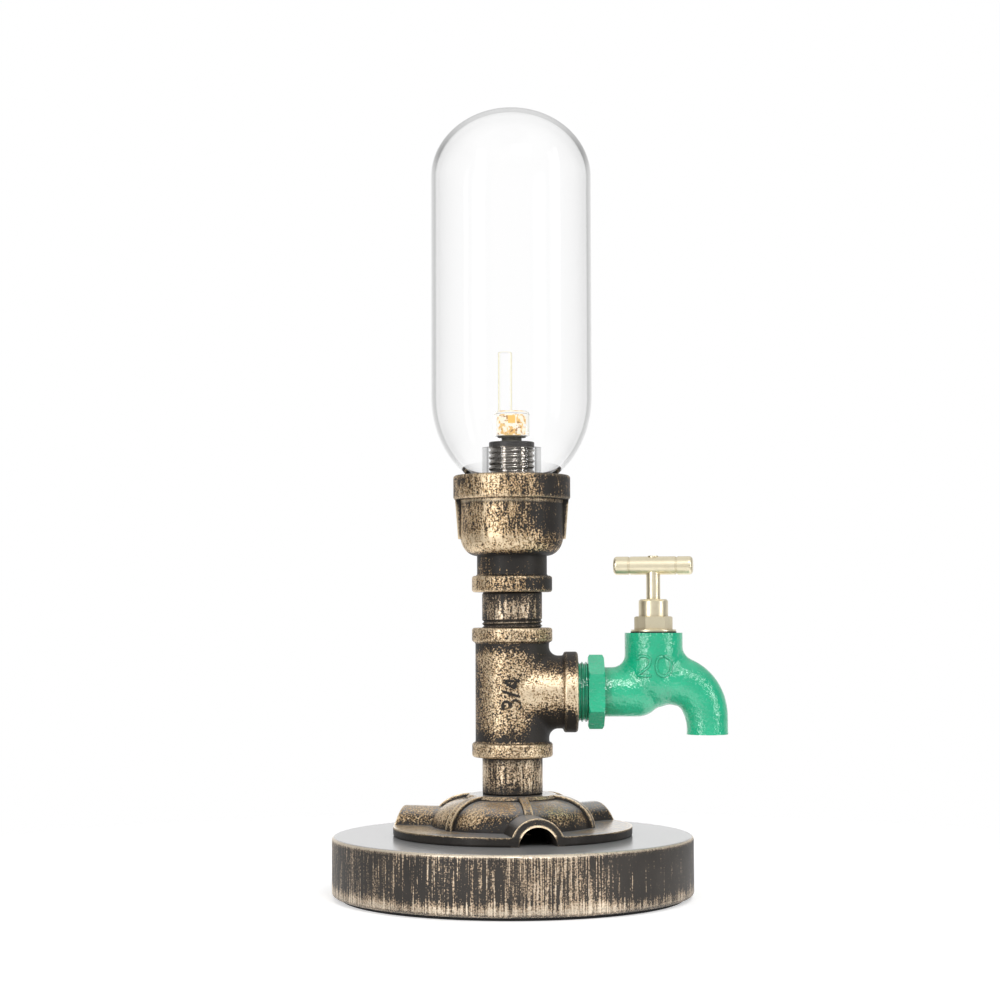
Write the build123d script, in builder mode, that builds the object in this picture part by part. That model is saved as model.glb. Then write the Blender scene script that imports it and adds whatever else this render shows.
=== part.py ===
"""Industrial pipe table lamp: a round base, pipe fittings, a bib tap and a glass shade.

Millimetres, +Z up.  The origin is the centre of the underside, on the surface that the lamp
stands on.  The front is towards -Y and the tap points along +X.
"""

import os
from math import acos, cos, degrees, radians, sin, sqrt, tan

from build123d import *

os.makedirs("parts", exist_ok=True)

# ---------------------------------------------------------------- driving dimensions

# Fits
thread_gap = 0.05           # radial gap left between a male and a female pipe thread
slip_gap = 0.1              # radial gap of a piece that drops into its seat
running_gap = 0.06          # radial gap of a turning or sliding fit
hole_spare = 0.5            # how much deeper a screw hole is than its screw

# Screws: a pan head's proportions, and the slots in all heads
pan_head_width = 1.7        # head diameter for a screw of diameter 1
pan_head_height = 0.6       # head height for a screw of diameter 1
slot_width = 0.8
slot_depth = 0.8

# Foot pad and base disc
foot_thickness = 1.5
foot_inset = 4.0            # how far the foot pad stands in from the rim of the base
base_diameter = 160.0
base_thickness = 25.7
base_edge_radius = 1.6
recess_depth = 13.5         # of the wiring space under the base
wire_hole_diameter = 16.0

# Bottom cover and its screws
cover_diameter = 100.0
cover_ledge = 8.0           # width of the ledge round the wiring space that carries the cover
cover_thickness = 2.0
cover_screw_count = 3
cover_screw_diameter = 3.0
cover_screw_head = 5.6
cover_screw_length = 9.0

# Cord outlet at the back
cord_diameter = 6.4         # the cord that the outlet is made for
outlet_height = 12.0        # above the table
bush_wall = 1.3
bush_flange = 2.2           # how far the flange stands out round the barrel
bush_flange_thickness = 2.0
bush_length = 16.0
clamp_width = 6.0
clamp_thickness = 2.5
clamp_leg = 5.0
clamp_gap = 3.0             # between the clamp and the wall of the wiring space
clamp_screw_diameter = 3.0
clamp_screw_bite = 5.0      # length of thread in the base
clamp_corner_radius = 1.0

# Terminal block
block_length = 16.0
block_width = 15.0
block_height = 9.0
block_corner_radius = 1.5
block_x = 18.5
block_y = 14.0
barrel_diameter = 4.4
barrel_bore = 3.0
barrel_spacing = 8.0
barrel_inset = 1.0          # each end of a barrel lies this far inside the block
terminal_screw_diameter = 2.5
terminal_screw_spacing = 8.0
terminal_screw_sink = 0.8   # the screws lie this far inside the block
block_screw_diameter = 2.5
block_screw_bite = 4.5

# Floor flange
plate_diameter = 106.0
plate_thickness = 4.0
plate_edge_radius = 0.9
hub_height = 18.0           # from the top of the base to the top of the hub
hub_ring_diameter = 41.0
hub_ring_chamfer = 1.2
dome_foot_diameter = 75.0   # where the ribs meet the plate
dome_crown_diameter = 38.0  # where the ribs leave the hub
panel_drop = 1.8            # panels lie this far below the ribs
dome_wall = 3.6
dome_foot_wall = 2.8
socket_shelf = 2.0          # under the pipe, narrowing to its bore
rib_count = 6
rib_width = 3.6
rib_root = 1.0              # the ribs start this far down in the plate
rib_azimuth = 11.5          # first rib, from the front towards the tap
channel_count = 3
channel_radius = 11.8
channel_bore_radius = 8.2
channel_lean = 2.5          # the channel's end leans in by this at its top
boss_diameter = 11.0
boss_circle_diameter = 54.0
boss_roof = 1.5             # of iron above the screw holes
flange_screw_diameter = 5.0
flange_screw_bite = 8.0     # length of thread in the boss
flange_washer_diameter = 10.0
flange_washer_thickness = 1.0

# Pipe, nipples and fittings (3/4 inch pipe)
pipe_diameter = 26.7
pipe_bore = 20.9
thread_depth = 0.7
thread_pitch = 1.8
thread_engagement = 12.0    # length screwed into a fitting
thread_showing = 3.2        # cut thread left in sight above a fitting
lower_nipple_showing = 16.4
upper_nipple_showing = 15.8
fitting_diameter = 32.8
band_diameter = 35.8
band_width = 6.4
band_edge_radius = 1.2
band_root_radius = 1.0
tee_length = 57.2
tee_reach = 29.1            # from the pipe axis to the end of the branch
branch_diameter = 32.4
branch_blend_radius = 4.0
fitting_cavity_diameter = 23.0
branch_cavity_diameter = 22.0

# Bell reducer
cup_collar_width = 7.3
cup_neck_diameter = 31.2
cup_neck_length = 8.9
cup_body_diameter = 46.0
cup_shoulder_height = 9.2
cup_height = 52.1
cup_band_stand = 3.15       # how far the band stands out from the body
cup_band_width = 10.9
cup_mouth_wall = 3.75       # of the band round the mouth
cup_mouth_depth = 11.7
cup_throat_diameter = 32.0
cup_floor_rise = 1.5        # of the floor inside, above the neck
cup_lip_radius = 0.8
cup_rib_width = 5.0
cup_rib_foot = 1.0          # how far the side ribs stand out at their foot
cup_rib_crown = 2.4         # and under the band
cup_rib_sink = 1.6          # they start this far below the top of the shoulder
cup_rib_slope = 0.8         # and run down by this towards the neck
cup_rib_root = 1.0          # and end this far up in the band
cup_edge_radius = 1.3

# Lampholder
seat_plate_thickness = 1.5
sleeve_diameter = 20.5
sleeve_bore = 17.0
sleeve_thread_depth = 0.8
sleeve_thread_pitch = 2.4
sleeve_length = 33.8
sleeve_stand = 22.7         # sleeve top above the seat plate
nut_thickness = 3.5
nut_flats = 27.0
holder_head_thickness = 2.6
holder_length = 25.0        # below the head
holder_edge_radius = 0.5
contact_diameter = 2.8
contact_bore = 0.9
contact_length = 9.0
contact_depth = 6.0         # contact top below the holder's face
pin_diameter = 0.7
pin_spacing = 4.0
pin_length = 10.0
lead_diameter = 1.8
gasket_thickness = 2.0
gasket_width = 2.8

# Bulb
bulb_foot_diameter = 9.0
bulb_foot_height = 2.0
bulb_rim_diameter = 12.6
bulb_rim_thickness = 0.7
core_diameter = 7.0
core_height = 9.6
chip_width = 2.8
chip_height = 3.4
chip_thickness = 0.9
chips_round = 6
chip_rows = 2
bulb_cover_diameter = 16.0
bulb_cover_height = 11.0
bulb_cover_wall = 0.8
bulb_cover_radius = 1.2     # of its top edge
guide_diameter = 6.4
guide_length = 26.6
guide_end_radius = 0.6
guide_offset = -2.9         # the light guide stands beside the axis, away from the tap

# Glass shade
shade_diameter = 72.0
shade_wall = 2.0
shade_ring_diameter = 23.4  # flat ring that sits on the gasket
shade_shoulder_height = 40.0
shade_straight = 99.2
shade_dome_height = 31.0
shade_crown_flat = 0.8      # across the small flat at the top of the dome
neck_diameter = 26.7
neck_height = 17.2
neck_gap = 0.2              # radial gap between the neck's thread and the sleeve

# Tap body
spigot_showing = 4.5
spigot_end_gap = 1.0        # between the spigot and the end of its socket
tap_hex_width = 7.1
tap_hex_corners = 33.0
tap_hex_chamfer = 1.2
tap_neck_diameter = 22.0
tap_neck_reach = 15.0       # of the neck's straight part, past the hexagon
belly_rise = 5.8            # centre of the round belly above the branch axis
stem_distance = 63.0        # stem axis from the pipe axis
head_diameter = 25.8
head_height = 26.2          # top of the head above the branch axis
neck_crease_radius = 5.5    # where the neck runs into the head
spout_crease_radius = 6.5   # where the spout runs into the head
spout_reach = 23.7          # from the stem axis to the end of the spout
spout_end_drop = 18.9       # end of the spout below the branch axis
spout_start_rise = 5.8      # start of the spout's centre line above the branch axis
spout_start_diameter = 23.0
spout_end_diameter = 18.6
spout_squareness = 2.8      # exponent of the bend; 2 would be a plain ellipse
spout_stations = 6
spout_bore = 13.4
way_start_turn = 14.0       # the spout's bore starts this far round the bend, beside the chamber
inlet_bore = 13.0
port_bore = 7.5             # drilling under the seat, and the seat itself
port_drop = 0.2             # that drilling's axis below the branch axis
seat_rise = 5.3             # seat face above the branch axis
seat_land_diameter = 13.0
seat_land_height = 1.0
chamber_diameter = 17.2

# Tap headgear
bonnet_washer_diameter = 20.4
bonnet_washer_thickness = 0.6
bonnet_flange_diameter = 20.0
bonnet_flange_thickness = 0.8
bonnet_hex_corners = 17.1
bonnet_hex_turn = 1.5       # one corner of the hexagon from +X, in degrees
bonnet_hex_chamfer = 0.8
bonnet_hex_height = 5.9
bonnet_spigot_diameter = 10.4
bonnet_spigot_height = 5.8
gland_nut_diameter = 13.1
gland_nut_height = 7.6
gland_nut_roof = 1.7
gland_nut_chamfer = 0.8
packing_height = 5.4
spindle_diameter = 6.2
spindle_thread_diameter = 8.7
spindle_end_chamfer = 0.5
spindle_socket_spare = 0.6  # depth of the socket past the end of the jumper
rise_spare = 1.4            # room left above the jumper and above the spindle thread when open
stem_showing = 10.9         # from the gland nut to the T-bar
handle_lead = 3.0           # rise of the spindle in one turn
handle_turns = 1.25         # from closed to fully open
bar_length = 35.4
bar_diameter = 8.2
bar_end_radius = 1.6
bar_groove_width = 1.0
bar_groove_depth = 0.35
bar_groove_inset = 7.2
bar_azimuth = 10.0          # the bar's tap-side end is turned this far from +X towards the front
bar_seat_depth = 1.45       # the stem is let into the bar by this
tenon_diameter = 4.6
tenon_stand = 0.3           # how far the riveted end stands above the bar
tenon_edge_radius = 0.25
washer_diameter = 13.0
washer_thickness = 3.5
jumper_disc_diameter = 14.0
jumper_disc_thickness = 2.0
jumper_stem_diameter = 4.8
jumper_stem_length = 8.4
washer_nut_flats = 5.5
washer_nut_thickness = 2.4
jumper_screw_diameter = 3.0
jumper_screw_stand = 0.6    # below its nut

# ---------------------------------------------------------------- places worked out from them

base_bottom = foot_thickness
base_top = base_bottom + base_thickness
recess_roof = base_bottom + recess_depth
cover_top = base_bottom + cover_thickness
plate_top = base_top + plate_thickness
hub_top = base_top + hub_height
tee_bottom = hub_top + lower_nipple_showing
tee_top = tee_bottom + tee_length
branch_z = tee_bottom + tee_length / 2
cup_bottom = tee_top + upper_nipple_showing
cup_top = cup_bottom + cup_height
seat_z = cup_top - cup_mouth_depth
seat_plate_top = seat_z + seat_plate_thickness
sleeve_top = seat_plate_top + sleeve_stand
sleeve_bottom = sleeve_top - sleeve_length
holder_face = sleeve_top + holder_head_thickness
upper_nut_top = seat_plate_top + nut_thickness
shade_bottom = upper_nut_top + gasket_thickness
contact_top = holder_face - contact_depth
contact_bottom = contact_top - contact_length
bulb_rim_top = holder_face + bulb_foot_height + bulb_rim_thickness
pipe_socket_diameter = pipe_diameter + 2 * thread_gap

tap_head_top = branch_z + head_height
valve_seat = branch_z + seat_rise
chamber_floor = valve_seat - seat_land_height
washer_top = valve_seat + washer_thickness
jumper_top = washer_top + jumper_disc_thickness
spindle_bottom = jumper_top + 2 * running_gap
handle_rise = handle_lead * handle_turns
bonnet_seat = tap_head_top + bonnet_washer_thickness
bonnet_hex_top = bonnet_seat + bonnet_flange_thickness + bonnet_hex_height
bonnet_top = bonnet_hex_top + bonnet_spigot_height
gland_top = bonnet_hex_top + gland_nut_height
packing_bottom = bonnet_top - packing_height
bonnet_bottom = jumper_top + handle_rise + rise_spare
spindle_shoulder = packing_bottom - handle_rise - rise_spare
bar_axis_z = gland_top + stem_showing + bar_diameter / 2


# ---------------------------------------------------------------- shared shapes

def column(radius, bottom, top, at=(0.0, 0.0), mode=Mode.ADD):
    """An upright cylinder between two heights."""
    with Locations((at[0], at[1], bottom)):
        Cylinder(radius, top - bottom, align=(Align.CENTER, Align.CENTER, Align.MIN), mode=mode)


def arm(radius, start, end, z, at_y=0.0, mode=Mode.ADD):
    """A cylinder lying along X between two distances from the pipe axis."""
    with Locations(Location((start, at_y, z), (0, 90, 0))):
        Cylinder(radius, end - start, align=(Align.CENTER, Align.CENTER, Align.MIN), mode=mode)


def on_circle(radius, azimuth):
    """A point on a circle round the pipe axis; azimuth runs from the front towards the tap."""
    return (radius * sin(radians(azimuth)), -radius * cos(radians(azimuth)))


def radial_plane(azimuth, height=0.0):
    """A plane facing outwards from the pipe axis, with its own x along the tangent."""
    out = on_circle(1.0, azimuth)
    return Plane(origin=(0, 0, height), x_dir=(-out[1], out[0], 0), z_dir=(out[0], out[1], 0))


def upright_plane(azimuth):
    """A plane that holds the pipe axis, with its own x pointing outwards and its y upwards."""
    out = on_circle(1.0, azimuth)
    return Plane(origin=(0, 0, 0), x_dir=(out[0], out[1], 0), z_dir=(out[1], -out[0], 0))


def thread_profile(crest, root, start, end, pitch):
    """Points of a V-thread's outline from start to end, as whole rings inside that length."""
    rings = max(1, round(abs(end - start) / pitch))
    step = (end - start) / rings
    points = [(root, start)]
    for ring in range(rings):
        foot = start + ring * step
        points.append((root, foot + 0.1 * step))
        points.append((crest, foot + 0.4 * step))
        points.append((crest, foot + 0.6 * step))
        points.append((root, foot + 0.9 * step))
    points.append((root, end))
    return points


def turn_profile(points):
    """A closed outline of (radius, height) points turned about the pipe axis."""
    with BuildSketch(Plane.XZ) as section:
        with BuildLine():
            Polyline(*points, close=True)
        make_face()
    return section.sketch


def nipple_outline(bottom, top, showing):
    """Pipe wall with cut threads at both ends; the lower one shows above its fitting."""
    crest = pipe_diameter / 2
    root = crest - thread_depth
    bore = pipe_bore / 2
    low_cut = bottom + thread_engagement + showing
    high_cut = top - thread_engagement
    return [
        (bore, bottom),
        *thread_profile(crest, root, bottom, low_cut, thread_pitch),
        (crest, low_cut + thread_depth),
        (crest, high_cut - thread_depth),
        *thread_profile(crest, root, high_cut, top, thread_pitch),
        (bore, top),
    ]


# ---------------------------------------------------------------- base

cover_radius = cover_diameter / 2
recess_radius = cover_radius - cover_ledge
cover_screw_circle = (recess_radius + cover_radius) / 2
cover_screw_points = [on_circle(cover_screw_circle, 360 * k / cover_screw_count)
                      for k in range(cover_screw_count)]
bush_barrel_radius = cord_diameter / 2 + bush_wall
bush_flange_radius = bush_barrel_radius + bush_flange
bush_face = sqrt((base_diameter / 2) ** 2 - bush_flange_radius ** 2)
flange_screw_angles = [rib_azimuth + 60 + 120 * k for k in range(3)]
flange_screw_points = [on_circle(boss_circle_diameter / 2, a) for a in flange_screw_angles]
clamp_span = cord_diameter + 2 * clamp_leg
clamp_distance = recess_radius - clamp_gap - clamp_width / 2
clamp_screw_points = [(side * (cord_diameter + clamp_leg) / 2, clamp_distance) for side in (-1, 1)]
clamp_bottom = recess_roof - cord_diameter - clamp_thickness
block_bottom = recess_roof - block_height
back_plane = Plane(origin=(0, bush_face, outlet_height), x_dir=(1, 0, 0), z_dir=(0, -1, 0))

with BuildPart() as base_disc:
    column(base_diameter / 2, base_bottom, base_top)
    fillet(base_disc.edges().filter_by(GeomType.CIRCLE), base_edge_radius)
    column(cover_radius, base_bottom, cover_top, mode=Mode.SUBTRACT)
    column(recess_radius, base_bottom, recess_roof, mode=Mode.SUBTRACT)
    column(wire_hole_diameter / 2, recess_roof, base_top, mode=Mode.SUBTRACT)
    for point in flange_screw_points:
        column(flange_screw_diameter / 2 + slip_gap, recess_roof, base_top, point, Mode.SUBTRACT)
    with BuildSketch(Plane.XY.offset(cover_top)):
        with Locations(*cover_screw_points):
            Circle(cover_screw_diameter / 2)
    extrude(amount=cover_screw_length, mode=Mode.SUBTRACT)
    with BuildSketch(back_plane.offset(-base_diameter / 2)):
        Circle(bush_flange_radius + slip_gap)
    extrude(amount=base_diameter / 2 + bush_flange_thickness, mode=Mode.SUBTRACT)
    with BuildSketch(back_plane):
        Circle(bush_barrel_radius + slip_gap)
    extrude(amount=bush_face - recess_radius + clamp_width, mode=Mode.SUBTRACT)
    for point in clamp_screw_points:
        column(clamp_screw_diameter / 2, recess_roof, recess_roof + clamp_screw_bite + hole_spare, point,
               Mode.SUBTRACT)
    column(block_screw_diameter / 2, recess_roof, recess_roof + block_screw_bite + hole_spare,
           (block_x, block_y), Mode.SUBTRACT)
base_disc.part.label = "base_disc"
export_step(base_disc.part, "parts/base_disc.step")

with BuildPart() as foot_pad:
    column(base_diameter / 2 - foot_inset, 0, foot_thickness)
foot_pad.part.label = "foot_pad"
export_step(foot_pad.part, "parts/foot_pad.step")

cover_head_depth = (cover_screw_head - cover_screw_diameter) / 2
with BuildPart() as bottom_cover:
    column(cover_radius - slip_gap, base_bottom, cover_top)
    for at in cover_screw_points:
        column(cover_screw_diameter / 2 + slip_gap, base_bottom, cover_top, at, Mode.SUBTRACT)
        with Locations((at[0], at[1], base_bottom)):
            Cone(cover_screw_head / 2 + slip_gap, cover_screw_diameter / 2 + slip_gap, cover_head_depth,
                 align=(Align.CENTER, Align.CENTER, Align.MIN), mode=Mode.SUBTRACT)
bottom_cover.part.label = "bottom_cover"
export_step(bottom_cover.part, "parts/bottom_cover.step")

with BuildPart() as cover_screws:
    for at in cover_screw_points:
        column(cover_screw_diameter / 2, base_bottom, base_bottom + cover_screw_length, at)
        with Locations((at[0], at[1], base_bottom)):
            Cone(cover_screw_head / 2, cover_screw_diameter / 2, cover_head_depth,
                 align=(Align.CENTER, Align.CENTER, Align.MIN))
            Box(0.7 * cover_screw_head, slot_width, slot_depth,
                align=(Align.CENTER, Align.CENTER, Align.MIN), mode=Mode.SUBTRACT)
cover_screws.part.label = "cover_screws"
export_step(cover_screws.part, "parts/cover_screws.step")

with BuildPart() as cord_bush:
    with BuildSketch(back_plane):
        Circle(bush_flange_radius)
    extrude(amount=bush_flange_thickness)
    with BuildSketch(back_plane):
        Circle(bush_barrel_radius)
    extrude(amount=bush_length)
    with BuildSketch(back_plane):
        Circle(cord_diameter / 2)
    extrude(amount=bush_length, mode=Mode.SUBTRACT)
cord_bush.part.label = "cord_bush"
export_step(cord_bush.part, "parts/cord_bush.step")

with BuildPart() as cord_clamp:
    with Locations((0, clamp_distance, clamp_bottom)):
        Box(clamp_span, clamp_width, recess_roof - clamp_bottom,
            align=(Align.CENTER, Align.CENTER, Align.MIN))
    fillet(cord_clamp.edges().filter_by(Axis.Z), clamp_corner_radius)
    with Locations((0, clamp_distance, clamp_bottom + clamp_thickness)):
        Box(cord_diameter, clamp_width, cord_diameter,
            align=(Align.CENTER, Align.CENTER, Align.MIN), mode=Mode.SUBTRACT)
    for point in clamp_screw_points:
        column(clamp_screw_diameter / 2 + slip_gap, clamp_bottom, recess_roof, point, Mode.SUBTRACT)
cord_clamp.part.label = "cord_clamp"
export_step(cord_clamp.part, "parts/cord_clamp.step")


def pan_head_screw(diameter, under_head, tip, at):
    """A pan-head screw pointing up from the underside of its head to its tip, with a cross slot."""
    head_radius = pan_head_width * diameter / 2
    head_bottom = under_head - pan_head_height * diameter
    column(diameter / 2, under_head, tip, at)
    column(head_radius, head_bottom, under_head, at)
    for across, along in ((head_radius, slot_width), (slot_width, head_radius)):
        with Locations((at[0], at[1], head_bottom)):
            Box(across, along, slot_depth,
                align=(Align.CENTER, Align.CENTER, Align.MIN), mode=Mode.SUBTRACT)


with BuildPart() as clamp_screws:
    for point in clamp_screw_points:
        pan_head_screw(clamp_screw_diameter, clamp_bottom, recess_roof + clamp_screw_bite, point)
clamp_screws.part.label = "clamp_screws"
export_step(clamp_screws.part, "parts/clamp_screws.step")

# ---------------------------------------------------------------- terminal block

barrel_z = block_bottom + block_height / 2
barrel_xs = [block_x + side * barrel_spacing / 2 for side in (-1, 1)]
block_front = block_y - block_length / 2
block_back = block_y + block_length / 2
terminal_screw_points = [(x, block_y + side * terminal_screw_spacing / 2)
                         for x in barrel_xs for side in (-1, 1)]
terminal_screw_tip = barrel_z - lead_diameter / 2 - slip_gap
terminal_screw_foot = block_bottom + terminal_screw_sink
lead_start_y = block_y - barrel_inset


def along_y(radius, start, end, x, z, mode=Mode.ADD):
    """A cylinder lying along Y between two places."""
    with Locations(Location((x, start, z), (-90, 0, 0))):
        Cylinder(radius, end - start, align=(Align.CENTER, Align.CENTER, Align.MIN), mode=mode)


with BuildPart() as terminal_block:
    with Locations((block_x, block_y, block_bottom)):
        Box(block_width, block_length, block_height, align=(Align.CENTER, Align.CENTER, Align.MIN))
    fillet(terminal_block.edges().filter_by(Axis.Z), block_corner_radius)
    for x in barrel_xs:
        along_y(barrel_diameter / 2 + slip_gap, block_front, block_back, x, barrel_z, Mode.SUBTRACT)
    for point in terminal_screw_points:
        column(terminal_screw_diameter / 2 + 2 * slip_gap, block_bottom, barrel_z, point, Mode.SUBTRACT)
    column(block_screw_diameter / 2 + slip_gap, block_bottom, recess_roof, (block_x, block_y), Mode.SUBTRACT)
terminal_block.part.label = "terminal_block"
export_step(terminal_block.part, "parts/terminal_block.step")

with BuildPart() as terminal_barrels:
    for x in barrel_xs:
        along_y(barrel_diameter / 2, block_front + barrel_inset, block_back - barrel_inset, x, barrel_z)
        along_y(barrel_bore / 2, block_front, block_back, x, barrel_z, Mode.SUBTRACT)
    for point in terminal_screw_points:
        column(terminal_screw_diameter / 2 + slip_gap, block_bottom, barrel_z, point, Mode.SUBTRACT)
terminal_barrels.part.label = "terminal_barrels"
export_step(terminal_barrels.part, "parts/terminal_barrels.step")

with BuildPart() as terminal_screws:
    for point in terminal_screw_points:
        column(terminal_screw_diameter / 2, terminal_screw_foot, terminal_screw_tip, point)
        with Locations((point[0], point[1], terminal_screw_foot)):
            Box(terminal_screw_diameter, slot_width, slot_depth,
                align=(Align.CENTER, Align.CENTER, Align.MIN), mode=Mode.SUBTRACT)
terminal_screws.part.label = "terminal_screws"
export_step(terminal_screws.part, "parts/terminal_screws.step")

with BuildPart() as block_screw:
    pan_head_screw(block_screw_diameter, block_bottom, recess_roof + block_screw_bite, (block_x, block_y))
block_screw.part.label = "block_screw"
export_step(block_screw.part, "parts/block_screw.step")

# ---------------------------------------------------------------- floor flange

plate_radius = plate_diameter / 2
hub_ring_radius = hub_ring_diameter / 2
crown_radius = dome_crown_diameter / 2
rib_reach = (dome_foot_diameter - dome_crown_diameter) / 2
rib_rise = hub_top - plate_top
panel_reach = rib_reach - panel_drop
panel_rise = rib_rise - panel_drop
cavity_reach = panel_reach - dome_foot_wall
cavity_rise = hub_top - panel_drop - dome_wall - base_top
hub_core_radius = pipe_diameter / 2 + dome_wall
socket_floor = hub_top - thread_engagement
core_bottom = socket_floor - socket_shelf
boss_top = base_top + flange_screw_bite + boss_roof
channel_azimuths = [rib_azimuth + 120 * k for k in range(channel_count)]

with BuildPart() as flange:
    # Turned body: plate, panelled dome and the ring round the hub
    with BuildSketch(Plane.XZ):
        with BuildLine():
            Polyline((crown_radius, plate_top + panel_rise), (0, plate_top + panel_rise), (0, base_top),
                     (plate_radius, base_top), (plate_radius, plate_top),
                     (crown_radius + panel_reach, plate_top))
            EllipticalCenterArc((crown_radius, plate_top), panel_reach, panel_rise, arc_size=90)
        make_face()
    revolve(axis=Axis.Z)
    fillet(flange.edges().filter_by(GeomType.CIRCLE).sort_by(SortBy.RADIUS)[-1], plate_edge_radius)
    column(hub_ring_radius, plate_top, hub_top)
    chamfer(flange.edges().filter_by(GeomType.CIRCLE).group_by(Axis.Z)[-1], hub_ring_chamfer)
    # Ribs
    for k in range(rib_count):
        with BuildSketch(upright_plane(rib_azimuth + 360 / rib_count * k)):
            with BuildLine():
                Polyline((crown_radius, hub_top), (crown_radius, plate_top - rib_root),
                         (crown_radius + rib_reach, plate_top - rib_root),
                         (crown_radius + rib_reach, plate_top))
                EllipticalCenterArc((crown_radius, plate_top), rib_reach, rib_rise, arc_size=90)
            make_face()
        extrude(amount=rib_width / 2, both=True)
    # Half-round channels that run out to the rim
    for azimuth in channel_azimuths:
        with BuildSketch(radial_plane(azimuth, base_top).offset(hub_core_radius)):
            Circle(channel_radius)
        extrude(amount=plate_radius - hub_core_radius)
    with BuildSketch(Plane.XZ):
        with BuildLine():
            Polyline((0, base_top), (2 * plate_radius, base_top), (2 * plate_radius, base_top - channel_radius - 1),
                     (0, base_top - channel_radius - 1), close=True)
        make_face()
    revolve(axis=Axis.Z, mode=Mode.SUBTRACT)
    with BuildSketch(Plane.XZ):
        with BuildLine():
            Polyline((plate_radius, base_top), (plate_radius, plate_top),
                     (plate_radius - channel_lean, base_top + channel_radius + 1),
                     (2 * plate_radius, base_top + channel_radius + 1), (2 * plate_radius, base_top), close=True)
        make_face()
    revolve(axis=Axis.Z, mode=Mode.SUBTRACT)
    # Hollow under the dome, the channels' bores, bosses for the screws, and the pipe socket
    with BuildSketch(Plane.XZ):
        with BuildLine():
            Polyline((crown_radius, base_top + cavity_rise), (hub_core_radius, base_top + cavity_rise),
                     (hub_core_radius, core_bottom), (0, core_bottom), (0, base_top),
                     (crown_radius + cavity_reach, base_top))
            EllipticalCenterArc((crown_radius, base_top), cavity_reach, cavity_rise, arc_size=90)
        make_face()
    revolve(axis=Axis.Z, mode=Mode.SUBTRACT)
    for azimuth in channel_azimuths:
        with BuildSketch(radial_plane(azimuth, base_top).offset(hub_core_radius + 1)):
            Circle(channel_bore_radius)
        extrude(amount=plate_radius, mode=Mode.SUBTRACT)
    for point in flange_screw_points:
        column(boss_diameter / 2, base_top, boss_top, point)
        column(flange_screw_diameter / 2 + thread_gap, base_top, base_top + flange_screw_bite, point,
               Mode.SUBTRACT)
    column(pipe_socket_diameter / 2, socket_floor, hub_top, mode=Mode.SUBTRACT)
    column(pipe_bore / 2, core_bottom, socket_floor, mode=Mode.SUBTRACT)
flange.part.label = "flange"
export_step(flange.part, "parts/flange.step")

with BuildPart() as flange_washers:
    for point in flange_screw_points:
        column(flange_washer_diameter / 2, recess_roof - flange_washer_thickness, recess_roof, point)
        column(flange_screw_diameter / 2 + slip_gap, recess_roof - flange_washer_thickness, recess_roof,
               point, Mode.SUBTRACT)
flange_washers.part.label = "flange_washers"
export_step(flange_washers.part, "parts/flange_washers.step")

flange_screw_seat = recess_roof - flange_washer_thickness
with BuildPart() as flange_screws:
    for point in flange_screw_points:
        pan_head_screw(flange_screw_diameter, flange_screw_seat, base_top + flange_screw_bite - hole_spare,
                       point)
flange_screws.part.label = "flange_screws"
export_step(flange_screws.part, "parts/flange_screws.step")

# ---------------------------------------------------------------- nipples, tee and bell reducer

with BuildPart() as lower_nipple:
    add(turn_profile(nipple_outline(socket_floor, tee_bottom + thread_engagement, 0)))
    revolve(axis=Axis.Z)
lower_nipple.part.label = "lower_nipple"
export_step(lower_nipple.part, "parts/lower_nipple.step")

with BuildPart() as upper_nipple:
    add(turn_profile(nipple_outline(tee_top - thread_engagement, cup_bottom + thread_engagement,
                                    thread_showing)))
    revolve(axis=Axis.Z)
upper_nipple.part.label = "upper_nipple"
export_step(upper_nipple.part, "parts/upper_nipple.step")

socket_radius = pipe_socket_diameter / 2
cavity_radius = fitting_cavity_diameter / 2
branch_socket_floor = tee_reach - thread_engagement
band_radius = band_diameter / 2


def of_radius(edges, radius):
    """The circular edges of one radius."""
    return edges.filter_by(GeomType.CIRCLE).filter_by(lambda edge: abs(edge.radius - radius) < 0.01)


with BuildPart() as tee:
    column(fitting_diameter / 2, tee_bottom, tee_top)
    arm(branch_diameter / 2, 0, tee_reach, branch_z)
    fillet(tee.edges().filter_by(GeomType.BSPLINE), branch_blend_radius)
    column(band_radius, tee_bottom, tee_bottom + band_width)
    column(band_radius, tee_top - band_width, tee_top)
    arm(band_radius, tee_reach - band_width, tee_reach, branch_z)
    fillet(of_radius(tee.edges(), band_radius), band_edge_radius)
    fillet(of_radius(tee.edges(), fitting_diameter / 2), band_root_radius)
    fillet(of_radius(tee.edges(), branch_diameter / 2), band_root_radius)
    column(socket_radius, tee_bottom, tee_bottom + thread_engagement, mode=Mode.SUBTRACT)
    column(socket_radius, tee_top - thread_engagement, tee_top, mode=Mode.SUBTRACT)
    arm(socket_radius, branch_socket_floor, tee_reach, branch_z, mode=Mode.SUBTRACT)
    column(cavity_radius, tee_bottom + thread_engagement, tee_top - thread_engagement, mode=Mode.SUBTRACT)
    arm(branch_cavity_diameter / 2, 0, branch_socket_floor, branch_z, mode=Mode.SUBTRACT)
tee.part.label = "tee"
export_step(tee.part, "parts/tee.step")

cup_neck_radius = cup_neck_diameter / 2
cup_body_radius = cup_body_diameter / 2
cup_band_radius = cup_body_radius + cup_band_stand
cup_mouth_radius = cup_band_radius - cup_mouth_wall
cup_neck_top = cup_bottom + cup_collar_width + cup_neck_length
cup_shoulder_top = cup_neck_top + cup_shoulder_height
cup_band_bottom = cup_top - cup_band_width
cup_floor = cup_neck_top + cup_floor_rise
cup_rib_foot_z = cup_shoulder_top - cup_rib_sink
cup_rib_top = cup_band_bottom + cup_rib_root

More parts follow.
